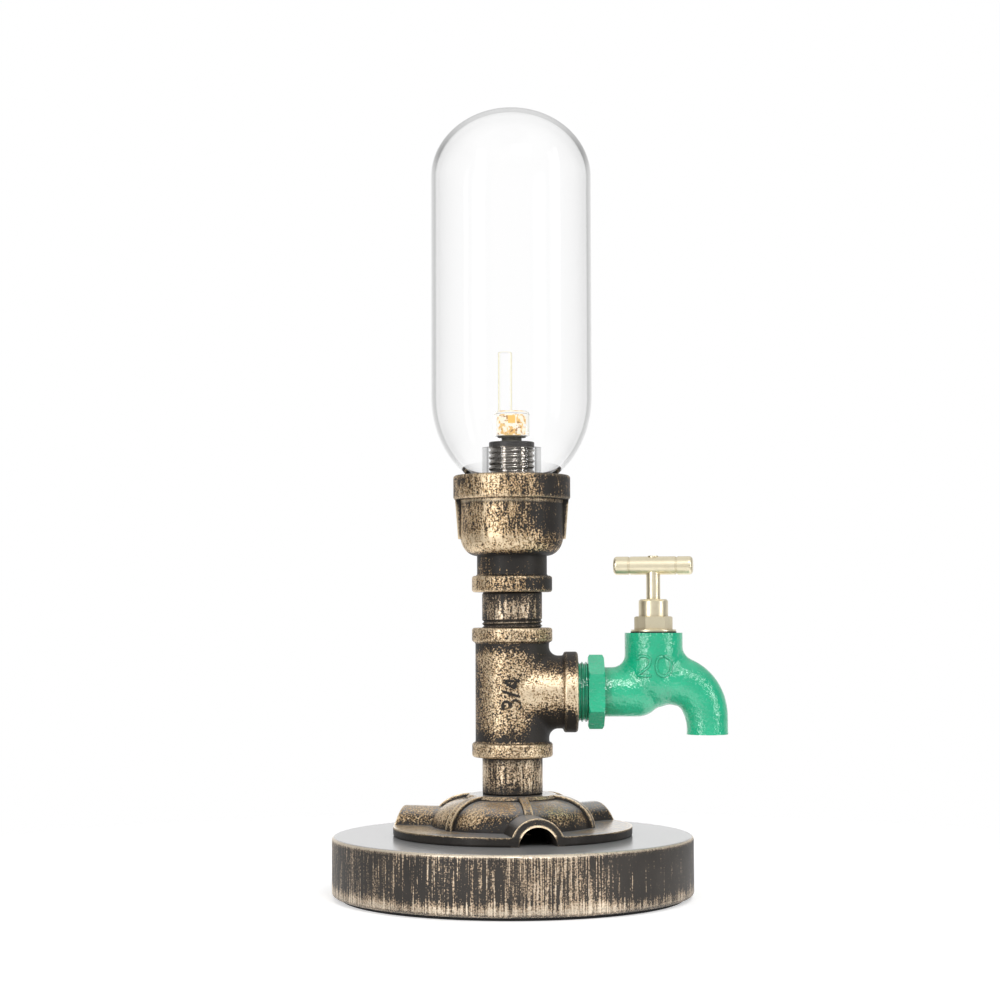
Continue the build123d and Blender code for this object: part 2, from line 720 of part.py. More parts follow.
with BuildPart() as reducer:
    with BuildSketch(Plane.XZ):
        with BuildLine():
            Polyline((cup_neck_radius, cup_neck_top), (cup_neck_radius, cup_bottom + cup_collar_width),
                     (band_radius, cup_bottom + cup_collar_width), (band_radius, cup_bottom), (0, cup_bottom),
                     (0, cup_top), (cup_band_radius, cup_top), (cup_band_radius, cup_band_bottom),
                     (cup_body_radius, cup_band_bottom), (cup_body_radius, cup_shoulder_top))
            EllipticalCenterArc((cup_neck_radius, cup_shoulder_top), cup_body_radius - cup_neck_radius,
                                cup_shoulder_height, start_angle=-90, arc_size=90)
        make_face()
    revolve(axis=Axis.Z)
    fillet(of_radius(reducer.edges(), cup_band_radius), cup_edge_radius)
    fillet(of_radius(reducer.edges(), band_radius), band_edge_radius)
    neck_root = of_radius(reducer.edges(), cup_neck_radius).sort_by(Axis.Z)[0]
    fillet(neck_root, band_root_radius)
    for side in (-1, 1):
        with BuildSketch(Plane.XZ):
            with BuildLine():
                Polyline((side * cup_neck_radius, cup_rib_foot_z - cup_rib_slope),
                         (side * (cup_body_radius + cup_rib_foot), cup_rib_foot_z),
                         (side * (cup_body_radius + cup_rib_crown), cup_rib_top),
                         (side * cup_neck_radius, cup_rib_top), close=True)
            make_face()
        extrude(amount=cup_rib_width / 2, both=True)
    column(socket_radius, cup_bottom, cup_bottom + thread_engagement, mode=Mode.SUBTRACT)
    column(pipe_bore / 2, cup_bottom + thread_engagement, cup_floor, mode=Mode.SUBTRACT)
    column(cup_throat_diameter / 2, cup_floor, seat_z, mode=Mode.SUBTRACT)
    column(cup_mouth_radius, seat_z, cup_top, mode=Mode.SUBTRACT)
    fillet(of_radius(reducer.edges(), cup_mouth_radius).sort_by(Axis.Z)[-1], cup_lip_radius)
reducer.part.label = "reducer"
export_step(reducer.part, "parts/reducer.step")

# ---------------------------------------------------------------- lampholder and leads

sleeve_radius = sleeve_diameter / 2
with BuildPart() as seat_plate:
    column(cup_mouth_radius - slip_gap, seat_z, seat_plate_top)
    column(sleeve_radius + slip_gap, seat_z, seat_plate_top, mode=Mode.SUBTRACT)
seat_plate.part.label = "seat_plate"
export_step(seat_plate.part, "parts/seat_plate.step")

with BuildPart() as threaded_sleeve:
    add(turn_profile([
        (sleeve_bore / 2, sleeve_bottom),
        *thread_profile(sleeve_radius, sleeve_radius - sleeve_thread_depth, sleeve_bottom, sleeve_top,
                        sleeve_thread_pitch),
        (sleeve_bore / 2, sleeve_top),
    ]))
    revolve(axis=Axis.Z)
threaded_sleeve.part.label = "threaded_sleeve"
export_step(threaded_sleeve.part, "parts/threaded_sleeve.step")

with BuildPart() as sleeve_nuts:
    for bottom in (seat_z - nut_thickness, seat_plate_top):
        with BuildSketch(Plane.XY.offset(bottom)):
            RegularPolygon(nut_flats / 2, 6, major_radius=False)
            Circle(sleeve_radius + thread_gap, mode=Mode.SUBTRACT)
        extrude(amount=nut_thickness)
sleeve_nuts.part.label = "sleeve_nuts"
export_step(sleeve_nuts.part, "parts/sleeve_nuts.step")

pin_points = [(0, side * pin_spacing / 2) for side in (-1, 1)]
holder_bottom = sleeve_top - holder_length
with BuildPart() as lampholder:
    column(sleeve_bore / 2 - slip_gap, holder_bottom, sleeve_top)
    column(sleeve_radius - slip_gap, sleeve_top, holder_face)
    fillet(lampholder.edges().group_by(Axis.Z)[-1], holder_edge_radius)
    for point in pin_points:
        column(contact_diameter / 2 + slip_gap, holder_bottom, contact_top, point, Mode.SUBTRACT)
        column(contact_bore / 2 + slip_gap, contact_top, holder_face, point, Mode.SUBTRACT)
lampholder.part.label = "lampholder"
export_step(lampholder.part, "parts/lampholder.step")

with BuildPart() as lamp_contacts:
    for point in pin_points:
        column(contact_diameter / 2, contact_bottom, contact_top, point)
        column(contact_bore / 2, contact_bottom, contact_top, point, Mode.SUBTRACT)
lamp_contacts.part.label = "lamp_contacts"
export_step(lamp_contacts.part, "parts/lamp_contacts.step")


def lead_route(barrel_x, pin_y):
    """From the terminal barrel across the recess, then straight up the pipe to the contact."""
    return [(barrel_x, lead_start_y, barrel_z), (barrel_x, pin_y, barrel_z), (0, pin_y, barrel_z),
            (0, pin_y, contact_bottom)]


def bend_radii(route):
    """The largest arc at each corner that leaves its two runs a tenth of their length."""
    corners = [Vector(*point) for point in route]
    radii = []
    for before, corner, after in zip(corners, corners[1:], corners[2:]):
        turn = (corner - before).get_angle(after - corner)
        run = min((corner - before).length, (after - corner).length)
        radii.append(0.45 * run / tan(radians(turn / 2)))
    return radii


live_route = lead_route(barrel_xs[0], pin_spacing / 2)
with BuildPart() as live_lead:
    with BuildLine():
        live_path = FilletPolyline(*live_route, radius=bend_radii(live_route))
    with BuildSketch(Plane(origin=live_path @ 0, z_dir=live_path % 0)):
        Circle(lead_diameter / 2)
    sweep()
live_lead.part.label = "live_lead"
export_step(live_lead.part, "parts/live_lead.step")

neutral_route = lead_route(barrel_xs[1], -pin_spacing / 2)
with BuildPart() as neutral_lead:
    with BuildLine():
        neutral_path = FilletPolyline(*neutral_route, radius=bend_radii(neutral_route))
    with BuildSketch(Plane(origin=neutral_path @ 0, z_dir=neutral_path % 0)):
        Circle(lead_diameter / 2)
    sweep()
neutral_lead.part.label = "neutral_lead"
export_step(neutral_lead.part, "parts/neutral_lead.step")

with BuildPart() as shade_gasket:
    column(sleeve_radius + slip_gap + gasket_width, upper_nut_top, shade_bottom)
    column(sleeve_radius + slip_gap, upper_nut_top, shade_bottom, mode=Mode.SUBTRACT)
shade_gasket.part.label = "shade_gasket"
export_step(shade_gasket.part, "parts/shade_gasket.step")

# ---------------------------------------------------------------- bulb

with BuildPart() as bulb_foot:
    column(bulb_foot_diameter / 2, holder_face, bulb_rim_top)
    column(bulb_rim_diameter / 2, bulb_rim_top - bulb_rim_thickness, bulb_rim_top)
    for point in pin_points:
        column(pin_diameter / 2, holder_face, bulb_rim_top - bulb_rim_thickness, point, Mode.SUBTRACT)
bulb_foot.part.label = "bulb_foot"
export_step(bulb_foot.part, "parts/bulb_foot.step")

with BuildPart() as bulb_pins:
    for point in pin_points:
        column(pin_diameter / 2, holder_face - pin_length, bulb_rim_top - bulb_rim_thickness, point)
bulb_pins.part.label = "bulb_pins"
export_step(bulb_pins.part, "parts/bulb_pins.step")

with BuildPart() as light_core:
    with BuildSketch(Plane.XY.offset(bulb_rim_top)):
        RegularPolygon(core_diameter / 2, chips_round, major_radius=False)
    extrude(amount=core_height)
light_core.part.label = "light_core"
export_step(light_core.part, "parts/light_core.step")

chip_row_step = core_height / chip_rows
with BuildPart() as light_chips:
    for row in range(chip_rows):
        for k in range(chips_round):
            chip_plane = radial_plane(360 / chips_round * k, bulb_rim_top + (row + 0.5) * chip_row_step)
            with BuildSketch(chip_plane.offset(core_diameter / 2)):
                Rectangle(chip_width, chip_height)
            extrude(amount=chip_thickness)
light_chips.part.label = "light_chips"
export_step(light_chips.part, "parts/light_chips.step")

cover_inner = bulb_cover_diameter / 2 - bulb_cover_wall
bulb_cover_top = bulb_rim_top + bulb_cover_height
with BuildPart() as bulb_cover:
    column(bulb_cover_diameter / 2, bulb_rim_top, bulb_cover_top)
    fillet(bulb_cover.edges().group_by(Axis.Z)[-1], bulb_cover_radius)
    column(cover_inner, bulb_rim_top, bulb_cover_top - bulb_cover_wall, mode=Mode.SUBTRACT)
bulb_cover.part.label = "bulb_cover"
export_step(bulb_cover.part, "parts/bulb_cover.step")

with BuildPart() as light_guide:
    column(guide_diameter / 2, bulb_cover_top, bulb_cover_top + guide_length, (guide_offset, 0))
    fillet(light_guide.edges().group_by(Axis.Z)[-1], guide_end_radius)
light_guide.part.label = "light_guide"
export_step(light_guide.part, "parts/light_guide.step")

# ---------------------------------------------------------------- glass shade

shade_radius = shade_diameter / 2
neck_bore_radius = sleeve_radius + neck_gap
shoulder_z = shade_bottom + shade_shoulder_height
dome_z = shoulder_z + shade_straight
ring_angle = degrees(acos(shade_ring_diameter / 2 / shade_radius))
bowl_depth = shade_shoulder_height / sin(radians(ring_angle))
inner_radius = shade_radius - shade_wall
crown_angle = degrees(acos(shade_crown_flat / 2 / shade_radius))
neck_angle = degrees(acos(neck_diameter / 2 / inner_radius))


def glass_curve(centre_z, across, up, start, end):
    """Part of an ellipse centred on the axis, between two angles from the horizontal."""
    angles = [radians(start + (end - start) * k / 4) for k in range(5)]
    points = [(across * cos(angle), centre_z + up * sin(angle)) for angle in angles]
    ends = [(-across * sin(angle), up * cos(angle)) for angle in (angles[0], angles[-1])]
    return Spline(*points, tangents=ends)


with BuildPart() as glass_shade:
    with BuildSketch(Plane.XZ):
        with BuildLine():
            bowl = glass_curve(shoulder_z, shade_radius, bowl_depth, -ring_angle, 0)
            dome = glass_curve(dome_z, shade_radius, shade_dome_height, 0, crown_angle)
            Line(bowl @ 1, dome @ 0)
            inner_dome = glass_curve(dome_z, inner_radius, shade_dome_height - shade_wall, 0, crown_angle)
            Polyline(dome @ 1, (0, (dome @ 1).Y), (0, (inner_dome @ 1).Y), inner_dome @ 1)
            inner_bowl = glass_curve(shoulder_z, inner_radius, bowl_depth - shade_wall, -neck_angle, 0)
            Line(inner_dome @ 0, inner_bowl @ 1)
            Polyline(inner_bowl @ 0, (neck_diameter / 2, shade_bottom + neck_height),
                     (neck_bore_radius, shade_bottom + neck_height), (neck_bore_radius, shade_bottom),
                     bowl @ 0)
        make_face()
    revolve(axis=Axis.Z)
glass_shade.part.label = "glass_shade"
export_step(glass_shade.part, "parts/glass_shade.step")

# ---------------------------------------------------------------- tap body

stem_at = (stem_distance, 0)
stem_axis = Axis((stem_distance, 0, 0), (0, 0, 1))
spigot_start = branch_socket_floor + spigot_end_gap
head_radius = head_diameter / 2
head_end = stem_distance + head_radius
spout_crease_start = stem_distance + head_radius / 4
neck_crease_end = stem_distance - head_radius / 4
crease_bottom = branch_z + belly_rise - head_radius / 8
shortest_crease = head_radius / 8
hex_start = tee_reach + spigot_showing
hex_end = hex_start + tap_hex_width
neck_end = hex_end + tap_neck_reach
belly_z = branch_z + belly_rise
spout_end_z = branch_z - spout_end_drop
spout_rise = spout_start_rise + spout_end_drop
port_z = branch_z - port_drop


def spout_plane(turn):
    """Plane across the spout, from 0 degrees at the stem axis to 90 at its end.

    The centre line is a quarter of a superellipse, so it leaves the head level and ends straight down.
    """
    power = 2 / spout_squareness
    across = sin(radians(turn)) ** power
    up = cos(radians(turn)) ** power if turn < 90 else 0.0
    centre = (stem_distance + spout_reach * across, 0, spout_end_z + spout_rise * up)
    slope_across = up ** (spout_squareness - 1) / spout_rise
    slope_down = across ** (spout_squareness - 1) / spout_reach
    return Plane(origin=centre, x_dir=(0, 1, 0), z_dir=(slope_across, 0, -slope_down))


def spout_loft(start_radius, end_radius, start_turn=0.0):
    """Circles across the spout's centre line, to be lofted into one round arm."""
    for station in range(spout_stations):
        share = station / (spout_stations - 1)
        with BuildSketch(spout_plane(start_turn + (90 - start_turn) * share)) as section:
            Circle(start_radius + (end_radius - start_radius) * share)
        yield section.sketch


spout_arm = loft(list(spout_loft(spout_start_diameter / 2, spout_end_diameter / 2)), mode=Mode.PRIVATE)
spout_way = loft(list(spout_loft(spout_bore / 2, spout_bore / 2, way_start_turn)), mode=Mode.PRIVATE)
spigot_crest = pipe_diameter / 2
tap_axis = Axis((0, 0, branch_z), (1, 0, 0))
chamber_radius = chamber_diameter / 2
chamfer_start = tap_hex_corners / 2 - tap_hex_chamfer
chamfer_slope = tan(radians(30))
branch_plane = Plane(origin=(0, 0, branch_z), x_dir=(1, 0, 0), z_dir=(0, -1, 0))

with BuildPart() as tap_body:
    # Head, belly and spout run into each other
    column(head_radius, belly_z, tap_head_top, stem_at)
    with Locations((stem_distance, 0, belly_z)):
        Sphere(head_radius)
    add(spout_arm)
    spout_creases = tap_body.edges().filter_by(GeomType.BSPLINE).filter_by(
        lambda edge: spout_crease_start < edge.center().X < head_end and edge.center().Z > crease_bottom)
    fillet(spout_creases, spout_crease_radius)
    # The neck ends in a ball, which rounds its underside up into the belly
    arm(tap_neck_diameter / 2, hex_start, neck_end, branch_z)
    with Locations((neck_end, 0, branch_z)):
        Sphere(tap_neck_diameter / 2)
    neck_creases = tap_body.edges().filter_by(GeomType.BSPLINE).filter_by(
        lambda edge: edge.center().X < neck_crease_end and edge.length > shortest_crease)
    fillet(neck_creases, neck_crease_radius)
    # Hexagon with its corners turned off at both ends
    with BuildSketch(Plane.YZ.offset(hex_start)):
        with Locations((0, branch_z)):
            RegularPolygon(tap_hex_corners / 2, 6, rotation=90)
    extrude(amount=tap_hex_width)
    with BuildSketch(branch_plane):
        for face, inwards in ((hex_start, 1), (hex_end, -1)):
            with BuildLine():
                Polyline((face, chamfer_start), (face, chamfer_start + tap_hex_corners),
                         (face + inwards * chamfer_slope * tap_hex_corners, chamfer_start + tap_hex_corners),
                         close=True)
            make_face()
    revolve(axis=tap_axis, mode=Mode.SUBTRACT)
    # Spigot with its pipe thread
    with BuildSketch(branch_plane):
        with BuildLine():
            Polyline((spigot_start, 0),
                     *[(along, radius) for radius, along in
                       thread_profile(spigot_crest, spigot_crest - thread_depth, spigot_start, hex_start,
                                      thread_pitch)],
                     (hex_start, 0), close=True)
        make_face()
    revolve(axis=tap_axis)
    # Waterway: inlet, port under the seat, valve chamber and spout
    arm(inlet_bore / 2, spigot_start, hex_end, branch_z, mode=Mode.SUBTRACT)
    arm(port_bore / 2, spigot_start, stem_distance + port_bore / 2, port_z, mode=Mode.SUBTRACT)
    column(chamber_radius, chamber_floor, tap_head_top, stem_at, Mode.SUBTRACT)
    column(seat_land_diameter / 2, chamber_floor, valve_seat, stem_at)
    column(port_bore / 2, port_z, valve_seat, stem_at, Mode.SUBTRACT)
    add(spout_way, mode=Mode.SUBTRACT)
tap_body.part.label = "tap_body"
export_step(tap_body.part, "parts/tap_body.step")

# ---------------------------------------------------------------- tap headgear

with BuildPart() as bonnet_washer:
    column(bonnet_washer_diameter / 2, tap_head_top, bonnet_seat, stem_at)
    column(chamber_radius, tap_head_top, bonnet_seat, stem_at, Mode.SUBTRACT)
bonnet_washer.part.label = "bonnet_washer"
export_step(bonnet_washer.part, "parts/bonnet_washer.step")

spindle_thread_radius = spindle_thread_diameter / 2
stem_radius = spindle_diameter / 2
hex_chamfer_start = bonnet_hex_corners / 2 - bonnet_hex_chamfer
hex_chamfer_drop = tan(radians(30)) * (bonnet_hex_corners - hex_chamfer_start)
bonnet_flange_top = bonnet_seat + bonnet_flange_thickness

with BuildPart() as bonnet:
    column(chamber_radius - thread_gap, bonnet_bottom, bonnet_seat, stem_at)
    column(bonnet_flange_diameter / 2, bonnet_seat, bonnet_flange_top, stem_at)
    with BuildSketch(Plane.XY.offset(bonnet_flange_top)):
        with Locations(stem_at):
            RegularPolygon(bonnet_hex_corners / 2, 6, rotation=bonnet_hex_turn)
    extrude(amount=bonnet_hex_height)
    with BuildSketch(Plane(origin=(stem_distance, 0, bonnet_hex_top), x_dir=(1, 0, 0), z_dir=(0, -1, 0))):
        with BuildLine():
            Polyline((hex_chamfer_start, 0), (bonnet_hex_corners, 0), (bonnet_hex_corners, -hex_chamfer_drop),
                     close=True)
        make_face()
    revolve(axis=stem_axis, mode=Mode.SUBTRACT)
    column(bonnet_spigot_diameter / 2, bonnet_hex_top, bonnet_top, stem_at)
    column(spindle_thread_radius + running_gap, bonnet_bottom, bonnet_top, stem_at, Mode.SUBTRACT)
bonnet.part.label = "bonnet"
export_step(bonnet.part, "parts/bonnet.step")

with BuildPart() as gland_packing:
    column(spindle_thread_radius, packing_bottom, bonnet_top, stem_at)
    column(stem_radius + running_gap, packing_bottom, bonnet_top, stem_at, Mode.SUBTRACT)
gland_packing.part.label = "gland_packing"
export_step(gland_packing.part, "parts/gland_packing.step")

with BuildPart() as gland_nut:
    column(gland_nut_diameter / 2, bonnet_hex_top, gland_top, stem_at)
    chamfer(gland_nut.edges().group_by(Axis.Z)[-1], gland_nut_chamfer)
    column(bonnet_spigot_diameter / 2 + thread_gap, bonnet_hex_top, gland_top - gland_nut_roof, stem_at,
           Mode.SUBTRACT)
    column(stem_radius + running_gap, bonnet_hex_top, gland_top, stem_at, Mode.SUBTRACT)
gland_nut.part.label = "gland_nut"
export_step(gland_nut.part, "parts/gland_nut.step")

# ---------------------------------------------------------------- spindle, T-bar and jumper

bar_top = bar_axis_z + bar_diameter / 2
bar_bottom = bar_axis_z - bar_diameter / 2
bar_seat = bar_bottom + bar_seat_depth
jumper_stem_top = jumper_top + jumper_stem_length
tenon_radius = tenon_diameter / 2
jumper_stem_radius = jumper_stem_diameter / 2
washer_nut_bottom = valve_seat - washer_nut_thickness

with BuildPart() as spindle:
    column(spindle_thread_radius, spindle_bottom, spindle_shoulder, stem_at)
    chamfer(spindle.edges(), spindle_end_chamfer)
    column(stem_radius, spindle_shoulder, bar_seat, stem_at)
    column(tenon_radius, bar_seat, bar_top + tenon_stand, stem_at)
    fillet(spindle.edges().group_by(Axis.Z)[-1], tenon_edge_radius)
    column(jumper_stem_radius + running_gap, spindle_bottom, jumper_stem_top + spindle_socket_spare, stem_at,
           Mode.SUBTRACT)
spindle.part.label = "spindle"
export_step(spindle.part, "parts/spindle.step")

bar_plane = Plane(origin=(stem_distance, 0, bar_axis_z),
                  x_dir=(sin(radians(bar_azimuth)), cos(radians(bar_azimuth)), 0),
                  z_dir=(cos(radians(bar_azimuth)), -sin(radians(bar_azimuth)), 0))
with BuildPart() as t_bar:
    with BuildSketch(bar_plane):
        Circle(bar_diameter / 2)
    extrude(amount=bar_length / 2, both=True)
    fillet(t_bar.edges().filter_by(GeomType.CIRCLE), bar_end_radius)
    for side in (-1, 1):
        groove_at = side * (bar_length / 2 - bar_groove_inset)
        with BuildSketch(bar_plane.offset(groove_at)):
            Circle(bar_diameter)
            Circle(bar_diameter / 2 - bar_groove_depth, mode=Mode.SUBTRACT)
        extrude(amount=bar_groove_width / 2, both=True, mode=Mode.SUBTRACT)
    column(stem_radius, bar_bottom, bar_seat, stem_at, Mode.SUBTRACT)
    column(tenon_radius, bar_bottom, bar_top, stem_at, Mode.SUBTRACT)
t_bar.part.label = "t_bar"
export_step(t_bar.part, "parts/t_bar.step")

with BuildPart() as jumper:
    column(jumper_disc_diameter / 2, washer_top, jumper_top, stem_at)
    column(jumper_stem_radius, jumper_top, jumper_stem_top, stem_at)
    column(jumper_screw_diameter / 2, washer_nut_bottom - jumper_screw_stand, washer_top, stem_at)
jumper.part.label = "jumper"
export_step(jumper.part, "parts/jumper.step")

with BuildPart() as tap_washer:
    column(washer_diameter / 2, valve_seat, washer_top, stem_at)
    column(jumper_screw_diameter / 2 + thread_gap, valve_seat, washer_top, stem_at, Mode.SUBTRACT)
tap_washer.part.label = "tap_washer"
export_step(tap_washer.part, "parts/tap_washer.step")

with BuildPart() as washer_nut:
    with BuildSketch(Plane.XY.offset(washer_nut_bottom)):
        with Locations(stem_at):
            RegularPolygon(washer_nut_flats / 2, 6, major_radius=False)
            Circle(jumper_screw_diameter / 2 + thread_gap, mode=Mode.SUBTRACT)
    extrude(amount=washer_nut_thickness)
washer_nut.part.label = "washer_nut"
export_step(washer_nut.part, "parts/washer_nut.step")
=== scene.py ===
"""Looks of an industrial pipe table lamp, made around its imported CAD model.

The lamp is built of black-iron pipe fittings with a dry-brushed bronze paint. It carries a clear capsule
shade over a small glowing lamp, and a green bib tap with a brass T-handle.
"""

import math

import bpy
import numpy as np
from bpy.props import FloatProperty, FloatVectorProperty, PointerProperty
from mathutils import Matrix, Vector
from mathutils.bvhtree import BVHTree


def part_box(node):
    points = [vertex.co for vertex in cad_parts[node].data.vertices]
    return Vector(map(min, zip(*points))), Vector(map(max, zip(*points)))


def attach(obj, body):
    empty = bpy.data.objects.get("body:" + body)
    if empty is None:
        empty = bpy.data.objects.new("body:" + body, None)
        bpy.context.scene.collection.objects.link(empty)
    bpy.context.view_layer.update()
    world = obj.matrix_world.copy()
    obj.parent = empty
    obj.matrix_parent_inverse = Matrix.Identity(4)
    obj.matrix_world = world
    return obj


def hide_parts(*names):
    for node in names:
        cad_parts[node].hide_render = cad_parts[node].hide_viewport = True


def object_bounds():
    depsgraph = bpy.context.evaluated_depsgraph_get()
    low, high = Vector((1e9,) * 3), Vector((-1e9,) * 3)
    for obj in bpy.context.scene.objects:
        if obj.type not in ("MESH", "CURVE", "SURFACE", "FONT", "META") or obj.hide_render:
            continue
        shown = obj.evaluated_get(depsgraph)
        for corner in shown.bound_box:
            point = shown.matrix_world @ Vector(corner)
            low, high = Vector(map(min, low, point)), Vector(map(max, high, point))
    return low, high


bl_info = {
    "name": "Pipe Table Lamp",
    "version": (1, 0, 0),
    "blender": (4, 5, 0),
    "location": "View3D > Sidebar > Pipe Lamp",
    "description": "Finishes, threads, glass and stage of a pipe table lamp",
    "category": "Object",
}

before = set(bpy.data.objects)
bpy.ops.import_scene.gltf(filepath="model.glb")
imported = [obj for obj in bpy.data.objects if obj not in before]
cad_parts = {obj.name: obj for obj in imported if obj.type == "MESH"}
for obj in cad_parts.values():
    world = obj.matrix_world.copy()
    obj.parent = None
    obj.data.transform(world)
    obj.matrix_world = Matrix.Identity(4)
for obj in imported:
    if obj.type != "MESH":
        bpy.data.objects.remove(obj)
CAD_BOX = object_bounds()

MM = 0.001
X, Y, Z = range(3)
WHITE = (1.0, 1.0, 1.0, 1.0)
CORNER_RAYS = 6


# ---------------------------------------------------------------- sizes and colours a user would change

def length_property(label, text, millimetres):
    """A length in metres whose default is given in millimetres."""
    return FloatProperty(name=label, description=text, default=millimetres * MM, unit="LENGTH",
                         precision=5, min=0.0)


def colour_property(label, text, red, green, blue):
    """A linear colour."""
    return FloatVectorProperty(name=label, description=text, default=(red, green, blue), subtype="COLOR",
                               size=3, min=0.0, max=1.0)


class PipeLampSizes(bpy.types.PropertyGroup):
    """Sizes of the pieces that are worked out here."""

    pipe_thread_pitch: length_property("Pipe thread pitch", "Rise of the pipe's thread in one turn", 1.8)
    pipe_thread_depth: length_property("Pipe thread depth", "Crest to root of the pipe's thread", 0.7)
    pipe_bore: length_property("Pipe bore", "Inside diameter of the nipple", 20.9)
    nipple_thread_showing: length_property("Thread in sight", "Cut thread above the tee", 3.2)
    thread_engagement: length_property("Thread engagement", "Length screwed into a fitting", 12.0)
    sleeve_thread_pitch: length_property("Sleeve thread pitch", "Rise of the sleeve's thread in a turn", 2.4)
    sleeve_thread_depth: length_property("Sleeve thread depth", "Crest to root of the sleeve's thread", 0.8)
    sleeve_bore: length_property("Sleeve bore", "Inside diameter of the lampholder's sleeve", 17.0)
    shade_wall: length_property("Shade wall", "Thickness of the glass", 2.0)
    shade_dome: length_property("Shade dome", "Height of the dome above the straight part", 31.0)
    shade_shoulder: length_property("Shade shoulder", "Height of the bowl under the straight part", 40.0)
    shade_ring: length_property("Shade ring", "Diameter of the flat ring the glass stands on", 23.4)
    neck_outside: length_property("Neck outside", "Outside diameter of the inner neck", 26.7)
    neck_bore: length_property("Neck bore", "Inside diameter of the inner neck", 20.9)
    neck_height: length_property("Neck height", "Height of the inner neck", 17.2)
    figure_stroke: length_property("Figure stroke", "Width of the raised figures' strokes", 1.25)


class PipeLampColours(bpy.types.PropertyGroup):
    """Colours of the finishes."""

    charcoal: colour_property("Charcoal", "Dark ground coat of the iron parts", 0.014, 0.0115, 0.0095)
    bronze: colour_property("Bronze", "Dry-brushed metallic coat", 0.56, 0.34, 0.14)
    pale_bronze: colour_property("Pale bronze", "Rubbed-through highlights of that coat", 0.93, 0.75, 0.50)
    enamel: colour_property("Enamel", "Green gloss enamel of the tap", 0.009, 0.50, 0.26)
    brass: colour_property("Brass", "Polished brass of the handle", 0.93, 0.84, 0.62)
    steel: colour_property("Steel", "Zinc-plated steel of the screws", 0.62, 0.62, 0.60)
    sleeve: colour_property("Sleeve", "Plating of the lampholder's sleeve", 0.56, 0.55, 0.54)
    glow: colour_property("Glow", "Amber light of the lamp's front chip", 1.0, 0.56, 0.14)


class PipeLampStage(bpy.types.PropertyGroup):
    """Camera and lights."""

    lens: FloatProperty(name="Lens", description="Focal length in millimetres", default=77.39, min=10.0,
                        unit="CAMERA")
    tilt: FloatProperty(name="Tilt", description="How far the camera looks up", subtype="ANGLE",
                        default=math.radians(2.91))
    roll: FloatProperty(name="Roll", description="Turn of the camera about its own axis", subtype="ANGLE",
                        default=math.radians(0.15))
    place: FloatVectorProperty(name="Place", description="Where the camera stands", subtype="TRANSLATION",
                               size=3, default=(-0.0054, -0.960, 0.127))
    side_power: FloatProperty(name="Side lights", default=6.6, min=0.0, unit="POWER",
                              description="Watts of the left softbox, of which the others have a share")
    top_power: FloatProperty(name="Top light", description="Power of the overhead softbox in watts",
                             default=5.0, min=0.0, unit="POWER")
    fill: FloatProperty(name="Fill", description="Strength of the room's light on dull surfaces",
                        default=0.3, min=0.0)


def sizes():
    """The sizes in use."""
    return bpy.context.scene.pipe_lamp_sizes


def colour(name, scale=1.0):
    """A named colour as red, green, blue and 1."""
    tint = getattr(bpy.context.scene.pipe_lamp_colours, name)
    return (tint[0] * scale, tint[1] * scale, tint[2] * scale, 1.0)


def greyed(tint, share):
    """A colour moved by a share towards the grey of its mean."""
    mean = sum(tint[:3]) / 3.0
    return tuple(value + (mean - value) * share for value in tint[:3]) + (1.0,)


# ---------------------------------------------------------------- shader nodes

class Field:
    """A number that changes over a surface. Arithmetic on it adds Math nodes."""

    def __init__(self, paint, socket):
        self.paint = paint
        self.socket = socket

    def maths(self, operation, first, second=0.0):
        return self.paint.field("ShaderNodeMath", {"operation": operation}, {0: first, 1: second})

    def __add__(self, other):
        return self.maths("ADD", self, other)

    def __radd__(self, other):
        return self.maths("ADD", other, self)

    def __sub__(self, other):
        return self.maths("SUBTRACT", self, other)

    def __rsub__(self, other):
        return self.maths("SUBTRACT", other, self)

    def __mul__(self, other):
        return self.maths("MULTIPLY", self, other)

    def __rmul__(self, other):
        return self.maths("MULTIPLY", other, self)

    def between(self, low, high):
        """0 where the number is at low, 1 where it is at high, and smooth between; low may be the larger."""
        return self.paint.field("ShaderNodeMapRange", {"interpolation_type": "SMOOTHSTEP"},
                                {"Value": self, "From Min": low, "From Max": high})


